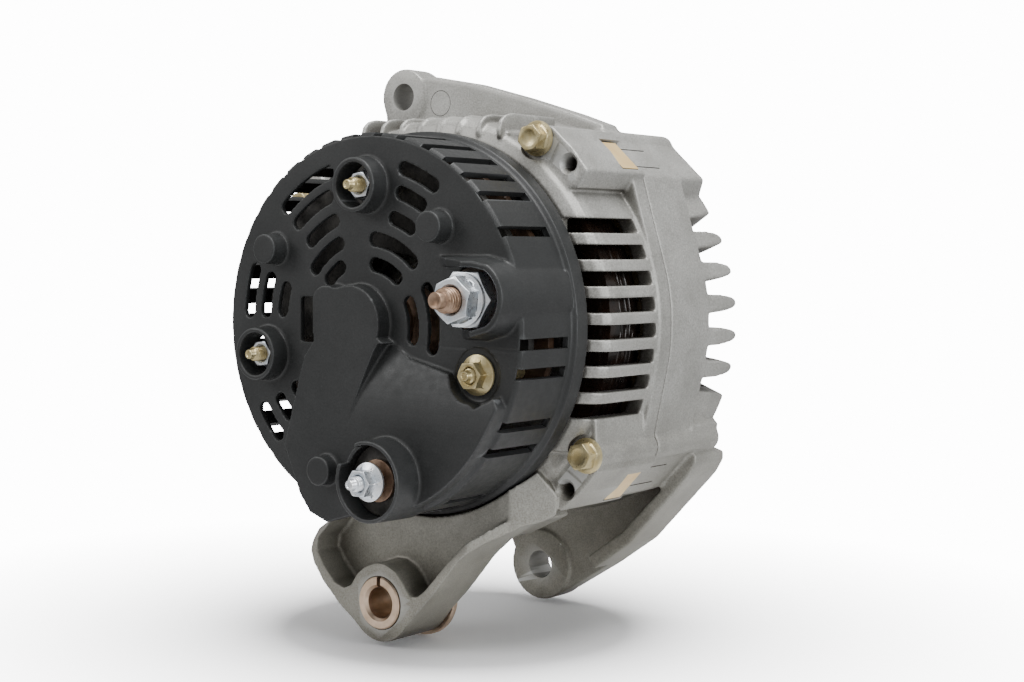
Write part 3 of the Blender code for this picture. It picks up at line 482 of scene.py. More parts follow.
class Look:
    """A procedural material in the making, laid out in millimetres."""

    def __init__(self, name, roughness, metallic):
        self.material = bpy.data.materials.new(name)
        self.material.use_nodes = True
        self.tree = self.material.node_tree
        self.shader = self.tree.nodes["Principled BSDF"]
        self.shader.inputs["Roughness"].default_value = roughness
        self.shader.inputs["Metallic"].default_value = metallic
        place = self.node("TexCoord").outputs["Object"]
        self.place = self.node("VectorMath", {0: place, "Scale": 1 / MM}, operation="SCALE").outputs[0]
        self.height = None

    def node(self, kind, inputs=(), **settings):
        """A new node with these properties, whose inputs are values or other nodes' outputs."""
        made = self.tree.nodes.new("ShaderNode" + kind)
        for name, value in settings.items():
            setattr(made, name, value)
        for name, value in dict(inputs).items():
            if isinstance(value, bpy.types.NodeSocket):
                self.link(value, made.inputs[name])
            else:
                made.inputs[name].default_value = value
        return made

    def link(self, source, target):
        self.tree.links.new(source, target)

    def noise(self, size, detail=3.0, stretch=(1, 1, 1)):
        """Noise whose blots are about size millimetres across."""
        place = self.place
        if stretch != (1, 1, 1):
            place = self.node("VectorMath", {0: place, 1: stretch}, operation="MULTIPLY").outputs[0]
        inputs = {"Scale": 1 / size, "Detail": detail, "Vector": place}
        return self.node("TexNoise", inputs).outputs["Fac"]

    def ramp(self, source, stops):
        made = self.node("ValToRGB", {"Fac": source})
        elements = made.color_ramp.elements
        while len(elements) < len(stops):
            elements.new(0.5)
        for element, (place, colour) in zip(elements, stops):
            element.position = place
            element.color = (*colour, 1.0)
        return made.outputs["Color"]

    def tint(self, size, detail, *stops):
        """Colours that drift over the surface in blots of this size."""
        return self.ramp(self.noise(size, detail), stops)

    def mix(self, share, first, second, blend="MIX"):
        """Two colours mixed, each of them and the share a value or another node's output."""
        first, second = ((*c, 1.0) if isinstance(c, tuple) else c for c in (first, second))
        inputs = {0: share, 6: first, 7: second}
        return self.node("Mix", inputs, data_type="RGBA", blend_type=blend).outputs[2]

    def remap(self, source, low, high, to_low, to_high):
        inputs = {0: source, 1: low, 2: high, 3: to_low, 4: to_high}
        return self.node("MapRange", inputs).outputs[0]

    def height_share(self, low, high):
        """1 below the low height and 0 above the high one, in millimetres above the pivot: the mask for painted
        shade low down.
        """
        parts = self.node("SeparateXYZ", {0: self.place})
        return self.remap(parts.outputs["Z"], low, high, 1.0, 0.0)

    def edges(self, low=0.53, high=0.62):
        geometry = self.node("NewGeometry")
        return self.remap(geometry.outputs["Pointiness"], low, high, 0.0, 1.0)

    def hollows(self, reach):
        """1 deep in corners and cavities, and 0 in the open: the mask for painted shade. Reach is in millimetres.
        """
        occlusion = self.node("AmbientOcclusion", {"Distance": reach * MM}, samples=4)
        return self.remap(occlusion.outputs["AO"], 0.72, 0.22, 0.0, 0.92)

    def colour(self, source):
        self.link(source, self.shader.inputs["Base Color"])

    def rough(self, source, low, high):
        self.link(self.remap(source, 0.3, 0.7, low, high), self.shader.inputs["Roughness"])

    def bump(self, source, depth, strength=1.0):
        """Adds relief this many millimetres deep."""
        inputs = {"Strength": strength, "Distance": depth * MM, "Height": source}
        if self.height:
            inputs["Normal"] = self.height
        self.height = self.node("Bump", inputs).outputs["Normal"]
        self.link(self.height, self.shader.inputs["Normal"])


def black_plastic():
    """Glass-filled black plastic: a fine matt grain, with paler moulded edges."""
    look = Look("black_plastic", 0.5, 0.0)
    base = look.tint(22.0, 4.0, (0.3, (0.014, 0.015, 0.015)), (0.75, (0.026, 0.027, 0.027)))
    grain = look.tint(0.4, 2.0, (0.35, (0.65, 0.65, 0.65)), (0.7, (1.3, 1.3, 1.3)))
    base = look.mix(0.6, base, grain, "MULTIPLY")
    look.colour(look.mix(look.edges(0.52, 0.6), base, (0.085, 0.088, 0.09)))
    look.rough(look.noise(3.0), 0.40, 0.54)
    look.bump(look.noise(0.35, 2.0), 0.06, 0.6)
    look.bump(look.noise(9.0, 2.0), 0.12, 0.2)
    look.shader.inputs["Specular IOR Level"].default_value = 0.45
    return look.material


def cast_aluminium():
    """Shot-blasted casting: a sparkling grey grain, with painted brown shade in its hollows and towards the
    bottom.
    """
    look = Look("cast_aluminium", 0.5, 0.55)
    fine = look.noise(0.55)
    base = look.tint(16.0, 5.0, (0.25, (0.34, 0.335, 0.315)), (0.75, (0.49, 0.485, 0.465)))
    dark, middle, bright = (0.66, 0.65, 0.62), (0.97, 0.97, 0.95), (1.35, 1.35, 1.34)
    speck = look.ramp(fine, [(0.32, dark), (0.5, middle), (0.68, bright)])
    base = look.mix(0.6, base, speck, "MULTIPLY")
    # Darker towards the bottom: painted shade.
    base = look.mix(look.height_share(15.0, 75.0), base, (0.62, 0.60, 0.55), "MULTIPLY")
    # Brown-black in hollows and creases: painted shade.
    base = look.mix(look.hollows(14.0), base, (0.050, 0.040, 0.028))
    look.colour(look.mix(look.edges(), base, (0.55, 0.55, 0.53)))
    look.rough(fine, 0.40, 0.60)
    look.bump(fine, 0.10, 0.6)
    look.bump(look.noise(2.6), 0.16, 0.35)
    return look.material


def plated(name, first, second, roughness):
    """Zinc or copper plating, with the tint drifting over it."""
    look = Look(name, roughness, 0.85)
    base = look.tint(3.0, 3.0, (0.35, first), (0.65, second))
    worn = tuple(min(1.0, c * 1.25) for c in second)
    look.colour(look.mix(look.edges(), base, worn))
    look.rough(look.noise(0.8), roughness * 0.8, roughness * 1.35)
    look.bump(look.noise(0.9, 2.0), 0.01, 0.4)
    return look.material


def shade_dark_aluminium():
    """The heat sinks behind the cover, darkened almost to black: painted shade for the shadow inside the cover."""
    look = Look("shade_dark_aluminium", 0.6, 0.4)
    look.colour(look.tint(6.0, 4.0, (0.35, (0.022, 0.021, 0.020)), (0.7, (0.085, 0.08, 0.072))))
    look.rough(look.noise(1.0), 0.45, 0.7)
    look.bump(look.noise(0.6), 0.08, 0.6)
    return look.material


def machined_steel(name, colour):
    look = Look(name, 0.32, 1.0)
    darker = tuple(0.75 * c for c in colour)
    look.colour(look.tint(6.0, 4.0, (0.3, darker), (0.7, colour)))
    look.rough(look.noise(1.2), 0.24, 0.42)
    look.bump(look.noise(0.4, 2.0, (0.2, 3.0, 0.2)), 0.02, 0.5)
    return look.material


def lamination():
    """The edges of the core's steel sheets under amber varnish."""
    look = Look("lamination", 0.38, 0.15)
    inputs = {"Scale": 0.55, "Distortion": 0.3, "Vector": look.place}
    wave = look.node("TexWave", inputs, bands_direction="Y", wave_profile="SIN")
    tint = look.tint(8.0, 3.0, (0.3, (0.72, 0.49, 0.20)), (0.7, (0.88, 0.66, 0.32)))
    lines = look.ramp(wave.outputs["Fac"], [(0.0, (0.5, 0.4, 0.3)), (0.5, (1, 1, 1))])
    tint = look.mix(0.22, tint, lines, "MULTIPLY")
    # Near black in hollows: painted shade.
    look.colour(look.mix(look.hollows(30.0), tint, (0.010, 0.007, 0.005)))
    look.bump(wave.outputs["Fac"], 0.05, 0.5)
    look.shader.inputs["Coat Weight"].default_value = 0.3
    return look.material


def copper_wire():
    look = Look("copper_wire", 0.3, 0.3)
    # Copper darkened almost to black: painted shade for the dark inside of the housing.
    tint = look.tint(5.0, 4.0, (0.3, (0.010, 0.007, 0.006)), (0.72, (0.045, 0.022, 0.013)))
    # Darker still in hollows: painted shade.
    look.colour(look.mix(look.hollows(6.0), tint, (0.004, 0.003, 0.003)))
    look.rough(look.noise(1.5), 0.20, 0.42)
    look.bump(look.noise(0.6, 2.0), 0.03, 0.5)
    look.shader.inputs["Coat Weight"].default_value = 0.4
    return look.material


def resin():
    look = Look("resin", 0.45, 0.0)
    look.colour(look.tint(5.0, 4.0, (0.3, (0.04, 0.022, 0.013)), (0.7, (0.08, 0.045, 0.026))))
    look.bump(look.noise(0.5, 2.0), 0.04, 0.5)
    return look.material


def carbon():
    look = Look("carbon", 0.6, 0.1)
    look.colour(look.tint(1.0, 4.0, (0.3, (0.02, 0.02, 0.022)), (0.7, (0.06, 0.06, 0.06))))
    look.bump(look.noise(0.3, 2.0), 0.03, 0.5)
    return look.material


def bronze():
    look = Look("bronze", 0.34, 1.0)
    look.colour(look.tint(4.0, 3.0, (0.3, (0.50, 0.37, 0.26)), (0.7, (0.68, 0.53, 0.41))))
    look.rough(look.noise(0.8), 0.28, 0.45)
    look.bump(look.noise(0.4, 2.0, (1, 0.2, 1)), 0.02, 0.5)
    return look.material


# The rear cover


def plateau_outline():
    """The raised part of the cover's face: a lobe over the shaft's end, and the area below it."""
    left_lobe = arc(6.0, 170, 60, 16, (-12.5, 7.2))
    main_lobe = arc(12.4, 105, -20, 28, (-2.2, 1.0))
    right_edge = [(19.4, -9.6), (36.0, -13.5), (38.9, -19.0), (48.0, -23.6), (54.9, -20.1)]
    rim = arc(COVER_R - 1.2, -22, -92, 40)
    left_edge = [(-12.0, -64.2), (-19.4, -61.6), (-23.9, -56.0), (-31.0, -40.0)]
    left_edge += [(-22.0, -10.3), (-17.9, -5.3)]
    return left_lobe + main_lobe + right_edge + rim + left_edge


def plateau_ramp():
    """What is cut away so that the plateau rises slowly and smoothly beside the lobe's ridge."""
    loops = []
    for i in range(RAMP_LEVELS + 1):
        share = i / RAMP_LEVELS
        z = RAMP_TOP + (RAMP_LOW - RAMP_TOP) * share
        left = 9.8 - 0.68 * (RAMP_TOP - z) ** 0.9
        floor = -PLATEAU * (1.0 - (1.0 - share) ** 1.7)
        corners = [(left, -PLATEAU - 1.0), (66.0, -PLATEAU - 1.0)]
        corners += [(66.0, floor + 0.6 * (1.0 - share)), (left, floor)]
        loops.append([(x, y, z) for x, y in corners])
    return loft(loops)


def shroud_loop(y, inset, top_left, bottom_left):
    """One level of the wall round the battery terminal's outer side."""
    side = arc(12.9 - inset, 62, -58, 30, (50.2, 10.3))
    outline = [(top_left, 22.9 - inset), (50.0, 22.9 - inset)] + side
    outline += [(50.0, -2.6 + inset), (bottom_left, -2.6 + inset)]
    return [(x, y, z) for x, z in outline]


def shroud():
    """The wall, which slopes up out of the face and narrows to its rim."""
    low, middle = shroud_loop(SKIRT_SLOT_END, 0.0, 46.0, 44.0), shroud_loop(0.0, 0.0, 30.0, 40.0)
    return loft([low, middle, shroud_loop(-SHROUD, 1.2, 46.0, 50.0)])


def shroud_hollow():
    return loft([shroud_loop(y, 3.2, 22.0, 22.0) for y in (-SHROUD - 1.0, -0.4)])


def cover_blank():
    step = SKIRT_SLOT_END + 1.2
    profile = [(0.0, 0.0), (COVER_R - 1.2, 0.0), (COVER_R, 1.2), (COVER_R, SKIRT_SLOT_END)]
    profile += [(COVER_RIM_R, step), (COVER_RIM_R, COVER_DEPTH), (0.0, COVER_DEPTH)]
    return turned(profile)


def cover_hollow():
    inner, step = COVER_R - COVER_WALL, SKIRT_SLOT_END + 1.0
    rim = COVER_RIM_R - COVER_WALL
    profile = [(0.0, COVER_WALL), (inner, COVER_WALL), (inner, step), (rim, step + 2.0)]
    profile += [(rim, COVER_DEPTH + 1.0), (0.0, COVER_DEPTH + 1.0)]
    return turned(profile)


def skirt_slot(angle):
    half, notch = SKIRT_SLOT_WIDTH / 2, COVER_R - 1.2
    inside, outside, end = COVER_R - 6.0, COVER_R + 3.0, SKIRT_SLOT_END - 1.5
    profile = [(outside, -1.0), (outside, end), (inside, end), (inside, 2.6), (notch, 0.8)]
    profile.append((notch, -1.0))
    return rolled(slab(profile, -half, half), angle)


def low_slot(angle):
    half = SKIRT_SLOT_WIDTH / 2
    cutter = block((COVER_R - 6.0, 5.0, -half), (COVER_R + 6.0, SKIRT_SLOT_END - 1.5, half))
    return rolled(cutter, angle)


def face_slot(radius, first, last):
    return prism(slot_outline(radius, first, last, FACE_SLOT_WIDTH), -1.0, COVER_WALL + 1.0)


def tapered(low_r, high_r, start, end, centre):
    """A round boss that widens from its end at start to its root."""
    return turned([(0.0, start), (low_r, start), (high_r, end), (0.0, end)], centre)


def rear_cover(material):
    x, z = PHASE_TERMINAL
    even = [86.0 + SKIRT_SLOT_PITCH * i for i in range(18)]
    add = [
        prism(plateau_outline(), -PLATEAU, 1.0),
        shroud(),
        tapered(4.8, 5.1, -PLATEAU - 5.0, 1.0, PLATEAU_PEG),
        tapered(PHASE_COLLAR_R - 0.3, PHASE_COLLAR_R, -PHASE_COLLAR, 1.0, PHASE_TERMINAL),
    ]
    add += [tapered(8.8, 9.1, -COLLAR, 1.0, place) for place in COVER_STUDS]
    add += [tapered(4.9, 5.3, -6.5, 1.0, place) for place in COVER_PEGS]
    cut = [
        cover_hollow(),
        plateau_ramp(),
        shroud_hollow(),
        rod(PHASE_COLLAR_R - 1.6, -PHASE_COLLAR - 1.0, COVER_WALL + 1.0, PHASE_TERMINAL),
        block((x - 14.0, -PHASE_COLLAR - 1.0, z + 5.0), (x - 5.0, -PHASE_COLLAR + 4.0, z + 15.0)),
        rod(11.0, -1.0, COVER_WALL + 1.0, B_PLUS),
        rod(8.6, -PLATEAU - 1.0, 0.8, D_PLUS),
        rod(3.4, -1.0, COVER_WALL + 1.0, D_PLUS),
        block((-29.0, -1.0, -6.0), (-21.8, COVER_WALL + 1.0, 9.0)),
    ]
    cut += [rod(7.2, -COLLAR - 1.0, COVER_WALL + 1.0, place) for place in COVER_STUDS]
    cut += [face_slot(*slot) for slot in FACE_SLOTS]
    slots = [skirt_slot(angle) for angle in (*SKIRT_SLOT_ANGLES, *even)]
    slots += [low_slot(angle) for angle in LOW_SLOT_ANGLES]
    made = combined("rear_cover_moulding", cover_blank(), add, cut)
    softened(made, 0.4, 4, 190000)
    machined(made, slots)
    put(made, material, "black_plastic", "housing", "rear_cover")


# The housing halves


def corner_boss(start, end):
    """The boss on the first corner that two bolt holes go through."""
    outline = [(27.7, 63.8), (45.8, 64.9), (53.9, 57.8), (59.9, 50.5), (56.4, 45.0)]
    outline += [(48.4, 44.5), (36.5, 54.7), (27.7, 58.9)]
    return prism(outline, start, end)


def vent_rows(pitch, count):
    return [(i - (count - 1) / 2) * pitch for i in range(count)]


def rear_lug():
    """The plate that holds the split bush, and the root that joins it to the body."""
    x, z = PIVOT
    outline = [(-27.0, -64.5), (-32.0, -68.7), (-35.7, -71.2), (-38.6, -75.7), (-39.5, -79.2)]
    outline += [(-38.1, -83.3), (-33.9, -89.1), (-26.4, -96.2), (x - 10.0, z - 9.0), (x, z - 5.0)]
    outline += [(x + 9.7, z - 9.0), (6.6, -97.2), (14.3, -89.3), (20.1, -82.6), (25.1, -76.6)]
    outline += [(32.0, -70.6), (40.1, -65.3), (46.1, -63.1), (53.0, -59.0), (44.0, -46.0)]
    root = arc(64.0, 245, 300, 24) + [(34.0, -66.0), (18.0, -74.0), (-24.0, -72.0)]
    root.append((-29.0, -66.0))
    return [
        rod(13.2, REAR_LUG_Y, REAR_LUG_END_Y, PIVOT),
        prism(outline, REAR_LUG_Y + 0.6, REAR_LUG_END_Y),
        prism(root, COVER_DEPTH + 1.0, SEAT_Y),
    ]


def rear_lug_pocket():
    """The hollow in the plate's rear face, which leaves a rim and an arch round the bush."""
    outline = [(-25.0, -62.0), (-32.0, -70.4), (-36.1, -74.6), (-36.7, -78.9), (-32.9, -84.4)]
    outline += [(-28.3, -89.2), (-24.1, -90.6), (-20.9, -89.2), (-17.8, -84.9), (-14.2, -82.1)]
    outline += [(-9.2, -80.2), (-5.3, -80.2), (-0.8, -82.2), (2.2, -85.2), (4.4, -88.5)]
    outline += [(6.2, -90.0), (8.4, -89.8), (11.7, -87.2), (15.1, -83.6), (20.5, -77.6)]
    outline += [(27.5, -70.9), (34.9, -64.7), (40.9, -59.9), (40.0, -48.0)]
    return prism(outline, REAR_LUG_Y - 1.0, LUG_FLOOR_Y)


def rear_lug_slope():
    """The plate's rear face falls away towards the corner boss."""
    outline = [(27.0, REAR_LUG_Y - 2.0), (58.0, REAR_LUG_Y - 2.0), (58.0, 38.0), (50.0, 37.0)]
    return slab(outline + [(38.0, 27.0)], -85.0, -40.0)


def top_rib(offset):
    profile = [(BODY_R - 8.0, REAR_WALL_Y + 0.2), (BODY_R - 5.6, REAR_WALL_Y - 0.2)]
    profile += [(BODY_R - 2.3, REAR_WALL_Y + 1.1), (BODY_R - 0.4, REAR_WALL_Y + 3.5)]
    profile += [(BODY_R + 0.4, REAR_WALL_Y + 7.0), (BODY_R + 0.4, SEAT_Y), (BODY_R - 8.0, SEAT_Y)]
    return rolled(slab(profile, offset - 0.8, offset + 0.8), 90)


def rear_frame_profile():
    seat, seat_end = REAR_BEARING
    profile = [(BODY_R - 6.0, REAR_WALL_Y), (BODY_R - 2.6, REAR_WALL_Y + 1.3)]
    profile += [(BODY_R - 0.7, REAR_WALL_Y + 3.6), (BODY_R, REAR_WALL_Y + 7.0)]
    profile += [(BODY_R, SEAT_Y + 1.0), (BODY_BORE_R, SEAT_Y + 1.0)]
    profile += [(BODY_BORE_R, REAR_WALL_Y + 4.0), (21.5, REAR_WALL_Y + 4.0)]
    profile += [(21.5, seat_end + 1.0), (17.8, seat_end + 1.0), (17.8, seat - GAP)]
    profile += [(12.0, seat - GAP), (12.0, seat - 2.0), (21.5, seat - 2.0), (21.5, REAR_WALL_Y)]
    return profile


def corner_window(angle):
    cutter = block((66.9, CORE_LOBE_START - 0.5, -8.0), (85.0, SEAM_Y + 1.0, 6.0))
    return at_corner(cutter, angle)


def countersunk(radius, start, end, place):
    profile = [(0.0, start - 1.0), (radius + 1.6, start - 1.0), (radius + 1.2, start)]
    profile += [(radius, start + 1.2), (radius, end), (0.0, end + 1.0)]
    return turned(profile, place, 40)


def rear_frame(material):
    flange = housing_outline(FLANGE_R, CORNER_FACE, CORNER_HALF)
    add = [prism(flange, SEAT_Y, SEAM_Y)]
    add += [rolled(corner_boss(CORNER_BOSS_Y, SEAM_Y), a - 45) for a in CORNERS]
    add += [rod(4.6, CORNER_BOSS_Y, SEAM_Y, polar(BOLT_R, a)) for a in BOLT_ANGLES]
    add += rear_lug()
    add += [top_rib(row + 3.4) for row in vent_rows(REAR_VENT_PITCH, 8)]
    cut = [
        rod(COVER_RIM_R + 0.6, REAR_LUG_Y - 5.0, REAR_WALL_Y - 1.0),
        rod(BODY_BORE_R, REAR_WALL_Y + 4.0, SEAT_Y + 1.0),
        rear_lug_pocket(),
        rear_lug_slope(),
    ]
    for side, shift in REAR_VENT_SHIFTS.items():
        start = TOP_VENT_START if side == 90 else REAR_WALL_Y - 1.0
        for row in vent_rows(REAR_VENT_PITCH, 8):
            low, high = row + shift - REAR_VENT_WIDTH / 2, row + shift + REAR_VENT_WIDTH / 2
            cut.append(rolled(block((52.0, start, low), (75.0, SEAT_Y - 1.5, high)), side))
    for angle in range(0, 360, 45):
        cut.append(prism(slot_outline(38.0, angle + 8, angle + 37, 20.0), 33.0, 41.0))
    made = combined("rear_frame_casting", turned(rear_frame_profile()), add, cut)
    softened(made, 0.45, 8, 180000)
    holes = [
        rod(CORE_R + GAP, SEAT_Y, SEAM_Y + 1.0),
        rod(9.15, REAR_LUG_Y - 1.0, REAR_LUG_END_Y + 1.0, PIVOT),
        rod(20.0, REAR_LUG_Y - 1.0, REAR_LUG_Y + 0.25, PIVOT),
    ]
    holes += [corner_window(a) for a in CORNERS]
    holes += [rod(7.0, REAR_LUG_Y, CORNER_BOSS_Y, polar(BOLT_R, a)) for a in BOLT_ANGLES]
    holes += [rod(2.8, CORNER_BOSS_Y - 1, SEAM_Y + 1, polar(BOLT_R, a)) for a in BOLT_ANGLES]
    holes += [countersunk(2.4, CORNER_BOSS_Y, 50.0, polar(SPARE_HOLE_R, a)) for a in CORNERS]
    machined(made, holes)
    put(made, material, "cast_aluminium", "housing", "rear_frame")


def front_frame_profile():
    seat, seat_end = FRONT_BEARING
    profile = [(FLANGE_R - 0.5, VENT_Y - 1.0), (71.2, 106.0), (71.4, 113.5), (70.7, 116.2)]
    profile += [(69.0, 118.7), (66.0, 120.5), (61.0, FRONT_FACE_Y), (30.0, FRONT_FACE_Y)]
    profile += [(26.0, 122.0), (14.0, 122.0), (14.0, seat_end + GAP), (20.3, seat_end + GAP)]
    profile += [(20.3, seat - 0.5), (25.5, seat - 0.5), (25.5, 116.0), (60.0, 116.0)]
    profile += [(64.5, 112.0), (64.5, VENT_Y - 1.0)]
    return profile


def top_lug():
    x, z = TOP_LUG
    arm = [(x + 5.0, z - 9.0), (x + 9.0, z + 7.6), (-16.0, 84.8), (6.4, 78.8), (28.0, 72.3)]
    arm += [(40.5, 68.0), (44.0, 60.0), (-50.0, 52.0), (-56.3, 66.0), (x - 9.8, z - 2.0)]
    return [
        rod(10.4, TOP_LUG_Y, TOP_LUG_Y + TOP_LUG_DEPTH + 1.0, TOP_LUG),
        prism(arm, TOP_LUG_Y + 1.0, TOP_LUG_Y + TOP_LUG_DEPTH),
    ]


def front_lug():
    x, z = PIVOT
    web = [(x - 12.6, z + 3.0), (x - 24.0, -66.0), (-50.0, -46.0), (50.0, -46.0), (64.8, -48.7)]
    web += [(62.0, -54.0), (37.7, -80.0), (22.0, -91.0), (x + 6.0, z - 11.8)]
    rim = [(64.8, -46.0), (64.8, -49.2), (62.0, -54.0), (37.7, -80.0), (22.0, -91.0)]
    rim += [(19.5, -86.5), (34.5, -76.0), (57.0, -52.0), (58.0, -44.0)]
    return [
        rod(13.2, PIVOT_PAD_Y, FRONT_FACE_Y - 1.0, PIVOT),
        prism(web, PIVOT_PAD_Y + 1.5, FRONT_FACE_Y - 2.0),
        prism(rim, VENT_Y + 1.0, FRONT_FACE_Y - 2.0),
    ]


def front_vent(angle):
    """A radial vent through the side wall and over the shoulder, which widens outwards."""
    loops = []
    for y, half in FRONT_VENT_LEVELS:
        outline = [polar(44.0, -half), polar(82.0, -half), polar(82.0, half), polar(44.0, half)]
        loops.append([(x, y, z) for x, z in outline])
    return rolled(loft(loops), angle)


def front_corner(angle):
    inner = 65.5
    outline = [(inner, -14.0), (CORNER_FACE, -CORNER_HALF), (CORNER_FACE, CORNER_HALF)]
    outline += [(72.5, 18.0), (inner, 18.0)]
    return at_corner(prism(outline, VENT_Y - 2.0, FRONT_CORNER_Y), angle)


def lobe_pocket(angle):
    cutter = block((CORE_R - 12.0, SEAM_Y - 1.0, -6.0), (74.1, VENT_Y - 0.3, 6.0))
    return at_corner(cutter, angle)


def groove(angle, along):
    low = (CORNER_FACE - 1.2, SEAM_Y + 1.0, along - 0.25)
    return at_corner(block(low, (CORNER_FACE + 3.0, 89.0, along + 0.25)), angle)


def front_frame(material):
    skirt = prism(housing_outline(FLANGE_R, CORNER_FACE, CORNER_HALF), SEAM_Y + GAP, VENT_Y)
    x, z = TOP_LUG
    add = [turned(front_frame_profile())] + top_lug() + front_lug()
    add += [front_corner(a) for a in CORNERS]
    add += [rod(4.8, SEAM_Y + GAP, FRONT_CORNER_Y, polar(BOLT_R, a)) for a in BOLT_ANGLES]
    cut = [rod(64.5, VENT_Y - 1.0, 112.0)]
    for side in (0, 90, 180):
        middle = side + FRONT_VENT_MIDDLE
        cut += [front_vent(middle + row) for row in vent_rows(FRONT_VENT_PITCH, 6)]
    made = combined("front_frame_casting", skirt, add, cut)
    softened(made, 0.45, 30, 180000)
    mark = (x + 17.0, z - 3.0)
    holes = [
        rod(CORE_R + GAP, SEAM_Y - 1.0, VENT_Y - 0.3),
        rod(PIVOT_HOLE_R, PIVOT_PAD_Y - 1.0, FRONT_FACE_Y + 1.0, PIVOT),
        rod(13.6, PIVOT_PAD_Y - 4.0, PIVOT_PAD_Y + 0.2, PIVOT),
        rod(TOP_HOLE_R, TOP_LUG_Y - 1.0, TOP_LUG_Y + TOP_LUG_DEPTH + 2.0, TOP_LUG),
        rod(12.0, TOP_LUG_Y - 2.0, TOP_LUG_Y + 0.2, TOP_LUG),
        turned([(4.2, TOP_LUG_Y), (4.6, TOP_LUG_Y + 1.4), (5.0, TOP_LUG_Y)], mark, 60),
    ]
    holes += [lobe_pocket(a) for a in CORNERS]
    holes += [rod(2.8, SEAM_Y - 1.0, 111.0, polar(BOLT_R, a)) for a in BOLT_ANGLES]
    holes += [groove(a, 4.4) for a in CORNERS] + [groove(a, -4.4) for a in CORNERS]
    machined(made, holes)
    put(made, material, "cast_aluminium", "housing", "front_frame")


# Fasteners and terminals


def hexagonal(name, across, start, end, place, turn, both=True, bevel=0.12):
    """A hexagon with its corners turned off at its rear end, and at its front end if both."""
    corner, flat = across / math.sqrt(3), across / 2 * 0.96
    drop = (corner - flat) * 0.55
    profile = [(0.0, start), (flat, start), (corner + 0.1, start + drop)]
    profile += [(corner + 0.1, end - drop), (flat, end)] if both else [(corner + 0.1, end)]
    envelope = turned(profile + [(0.0, end)], place, 72)
    sides = prism(hexagon(across, place, turn), start, end)
    return crisp(combined(name, sides, keep=[envelope]), bevel)


def nut(node, place, size, start, end, flange, turn, material, slot):
    """A nut with a countersunk bore and, if its radius isn't 0, a flange at its front."""
    across, bore = size
    hexagon_end = end - (0.4 if flange else 0.0)
    made = hexagonal(f"{node}_detail", across, start, hexagon_end, place, turn, not flange)
    add = []
    if flange:
        skirt = [(0.0, end - 2.2), (across / 2 - 1.0, end - 2.2), (flange - 0.7, end - 1.1)]
        skirt += [(flange, end - 0.7), (flange, end), (0.0, end)]
        add.append(turned(skirt, place))
    mouth = [(0.0, start - 0.1), (bore + 0.7, start - 0.1), (bore, start + 0.6), (0.0, start + 0.6)]
    cut = [rod(bore, start - 1.0, end + 1.0, place), turned(mouth, place)]
    put(shaded(combined_object(made, add, cut)), material, slot, "housing", node)


def thread_loop(place, radius, pitch, y, lift):
    """One level of a helical thread that stands this share of its height above its root."""
    depth = 0.55 * pitch
    points = []
    for i in range(THREAD_STEPS):
        phase = (y / pitch + i / THREAD_STEPS) % 1.0
        crest = min(1.0, 1.35 * (1.0 - abs(2.0 * phase - 1.0)))
        x, z = polar(radius - depth + depth * lift * crest, 360 * i / THREAD_STEPS)
        points.append((place[0] + x, y, place[1] + z))
    return points


def plain_loop(place, radius, y):
    """A circle with as many points as a thread's loop."""
    return [(x, y, z) for x, z in circle(radius, place, THREAD_STEPS)]


def stud(node, place, thread, start, thread_end, end, material, slot):
    """A stud with a pilot tip, a true helical thread and a plain rest."""
    radius, pitch = thread
    pilot, tip_end = radius * 0.66, start + radius * 0.75
    tip = [(0.35 * radius, start + 0.35), (0.45 * radius, start), (pilot - 0.15, start)]
    tip += [(pilot, start + 0.2), (pilot, tip_end), (radius - 0.55 * pitch, tip_end + 0.4)]
    loops = [plain_loop(place, *level) for level in tip]
    y = tip_end + 0.5
    while y < thread_end:
        loops.append(thread_loop(place, radius, pitch, y, min(1.0, (y - tip_end) / pitch)))
        y += pitch / 8
    loops += [plain_loop(place, radius * 0.97, level) for level in (thread_end + 0.3, end)]
    made = smoothed(mesh_object(f"{node}_detail", loft(loops)), 50)
    put(made, material, slot, "housing", node)


def through_bolt(number, angle, material):
    place = polar(BOLT_R, angle)
    seat = CORNER_BOSS_Y - GAP
    head = (f"through_bolt_{number}_detail", SMALL_NUT[0], seat - 5.5, seat - 1.2)
    made = hexagonal(*head, place, 12.0, False)
    skirt = [(0.0, seat - 2.4), (3.6, seat - 2.4), (5.0, seat - 1.4), (5.8, seat - 0.9)]
    skirt += [(5.8, seat), (0.0, seat)]
    dish = [(0.0, seat - 5.6), (3.1, seat - 5.6), (2.5, seat - 5.1), (0.0, seat - 5.1)]
    add = [turned(skirt, place), rod(SMALL_THREAD[0], seat - 1.0, 108.0, place)]
    made = combined_object(made, add, [turned(dish, place)])
    put(shaded(made), material, "yellow_zinc", "housing", f"through_bolt_{number}")


def fasteners(looks):
    for number, angle in enumerate(BOLT_ANGLES, 1):
        through_bolt(number, angle, looks["yellow_zinc"])
    for place, (node, *sizes, look, slot), *nuts in TERMINALS:
        stud(node, place, *sizes, looks[look], slot)
        for node, *sizes, look in nuts:
            nut(node, place, *sizes, looks[look], look)
    washer = turned([(6.8, -11.3), (6.8, -9.8), (2.7, -9.8), (2.7, -11.3)], PHASE_TERMINAL)
    washer = mesh_object("phase_washer_detail", washer)
    put(crisp(washer, 0.2), looks["copper_stud"], "bronze", "housing", "phase_washer")


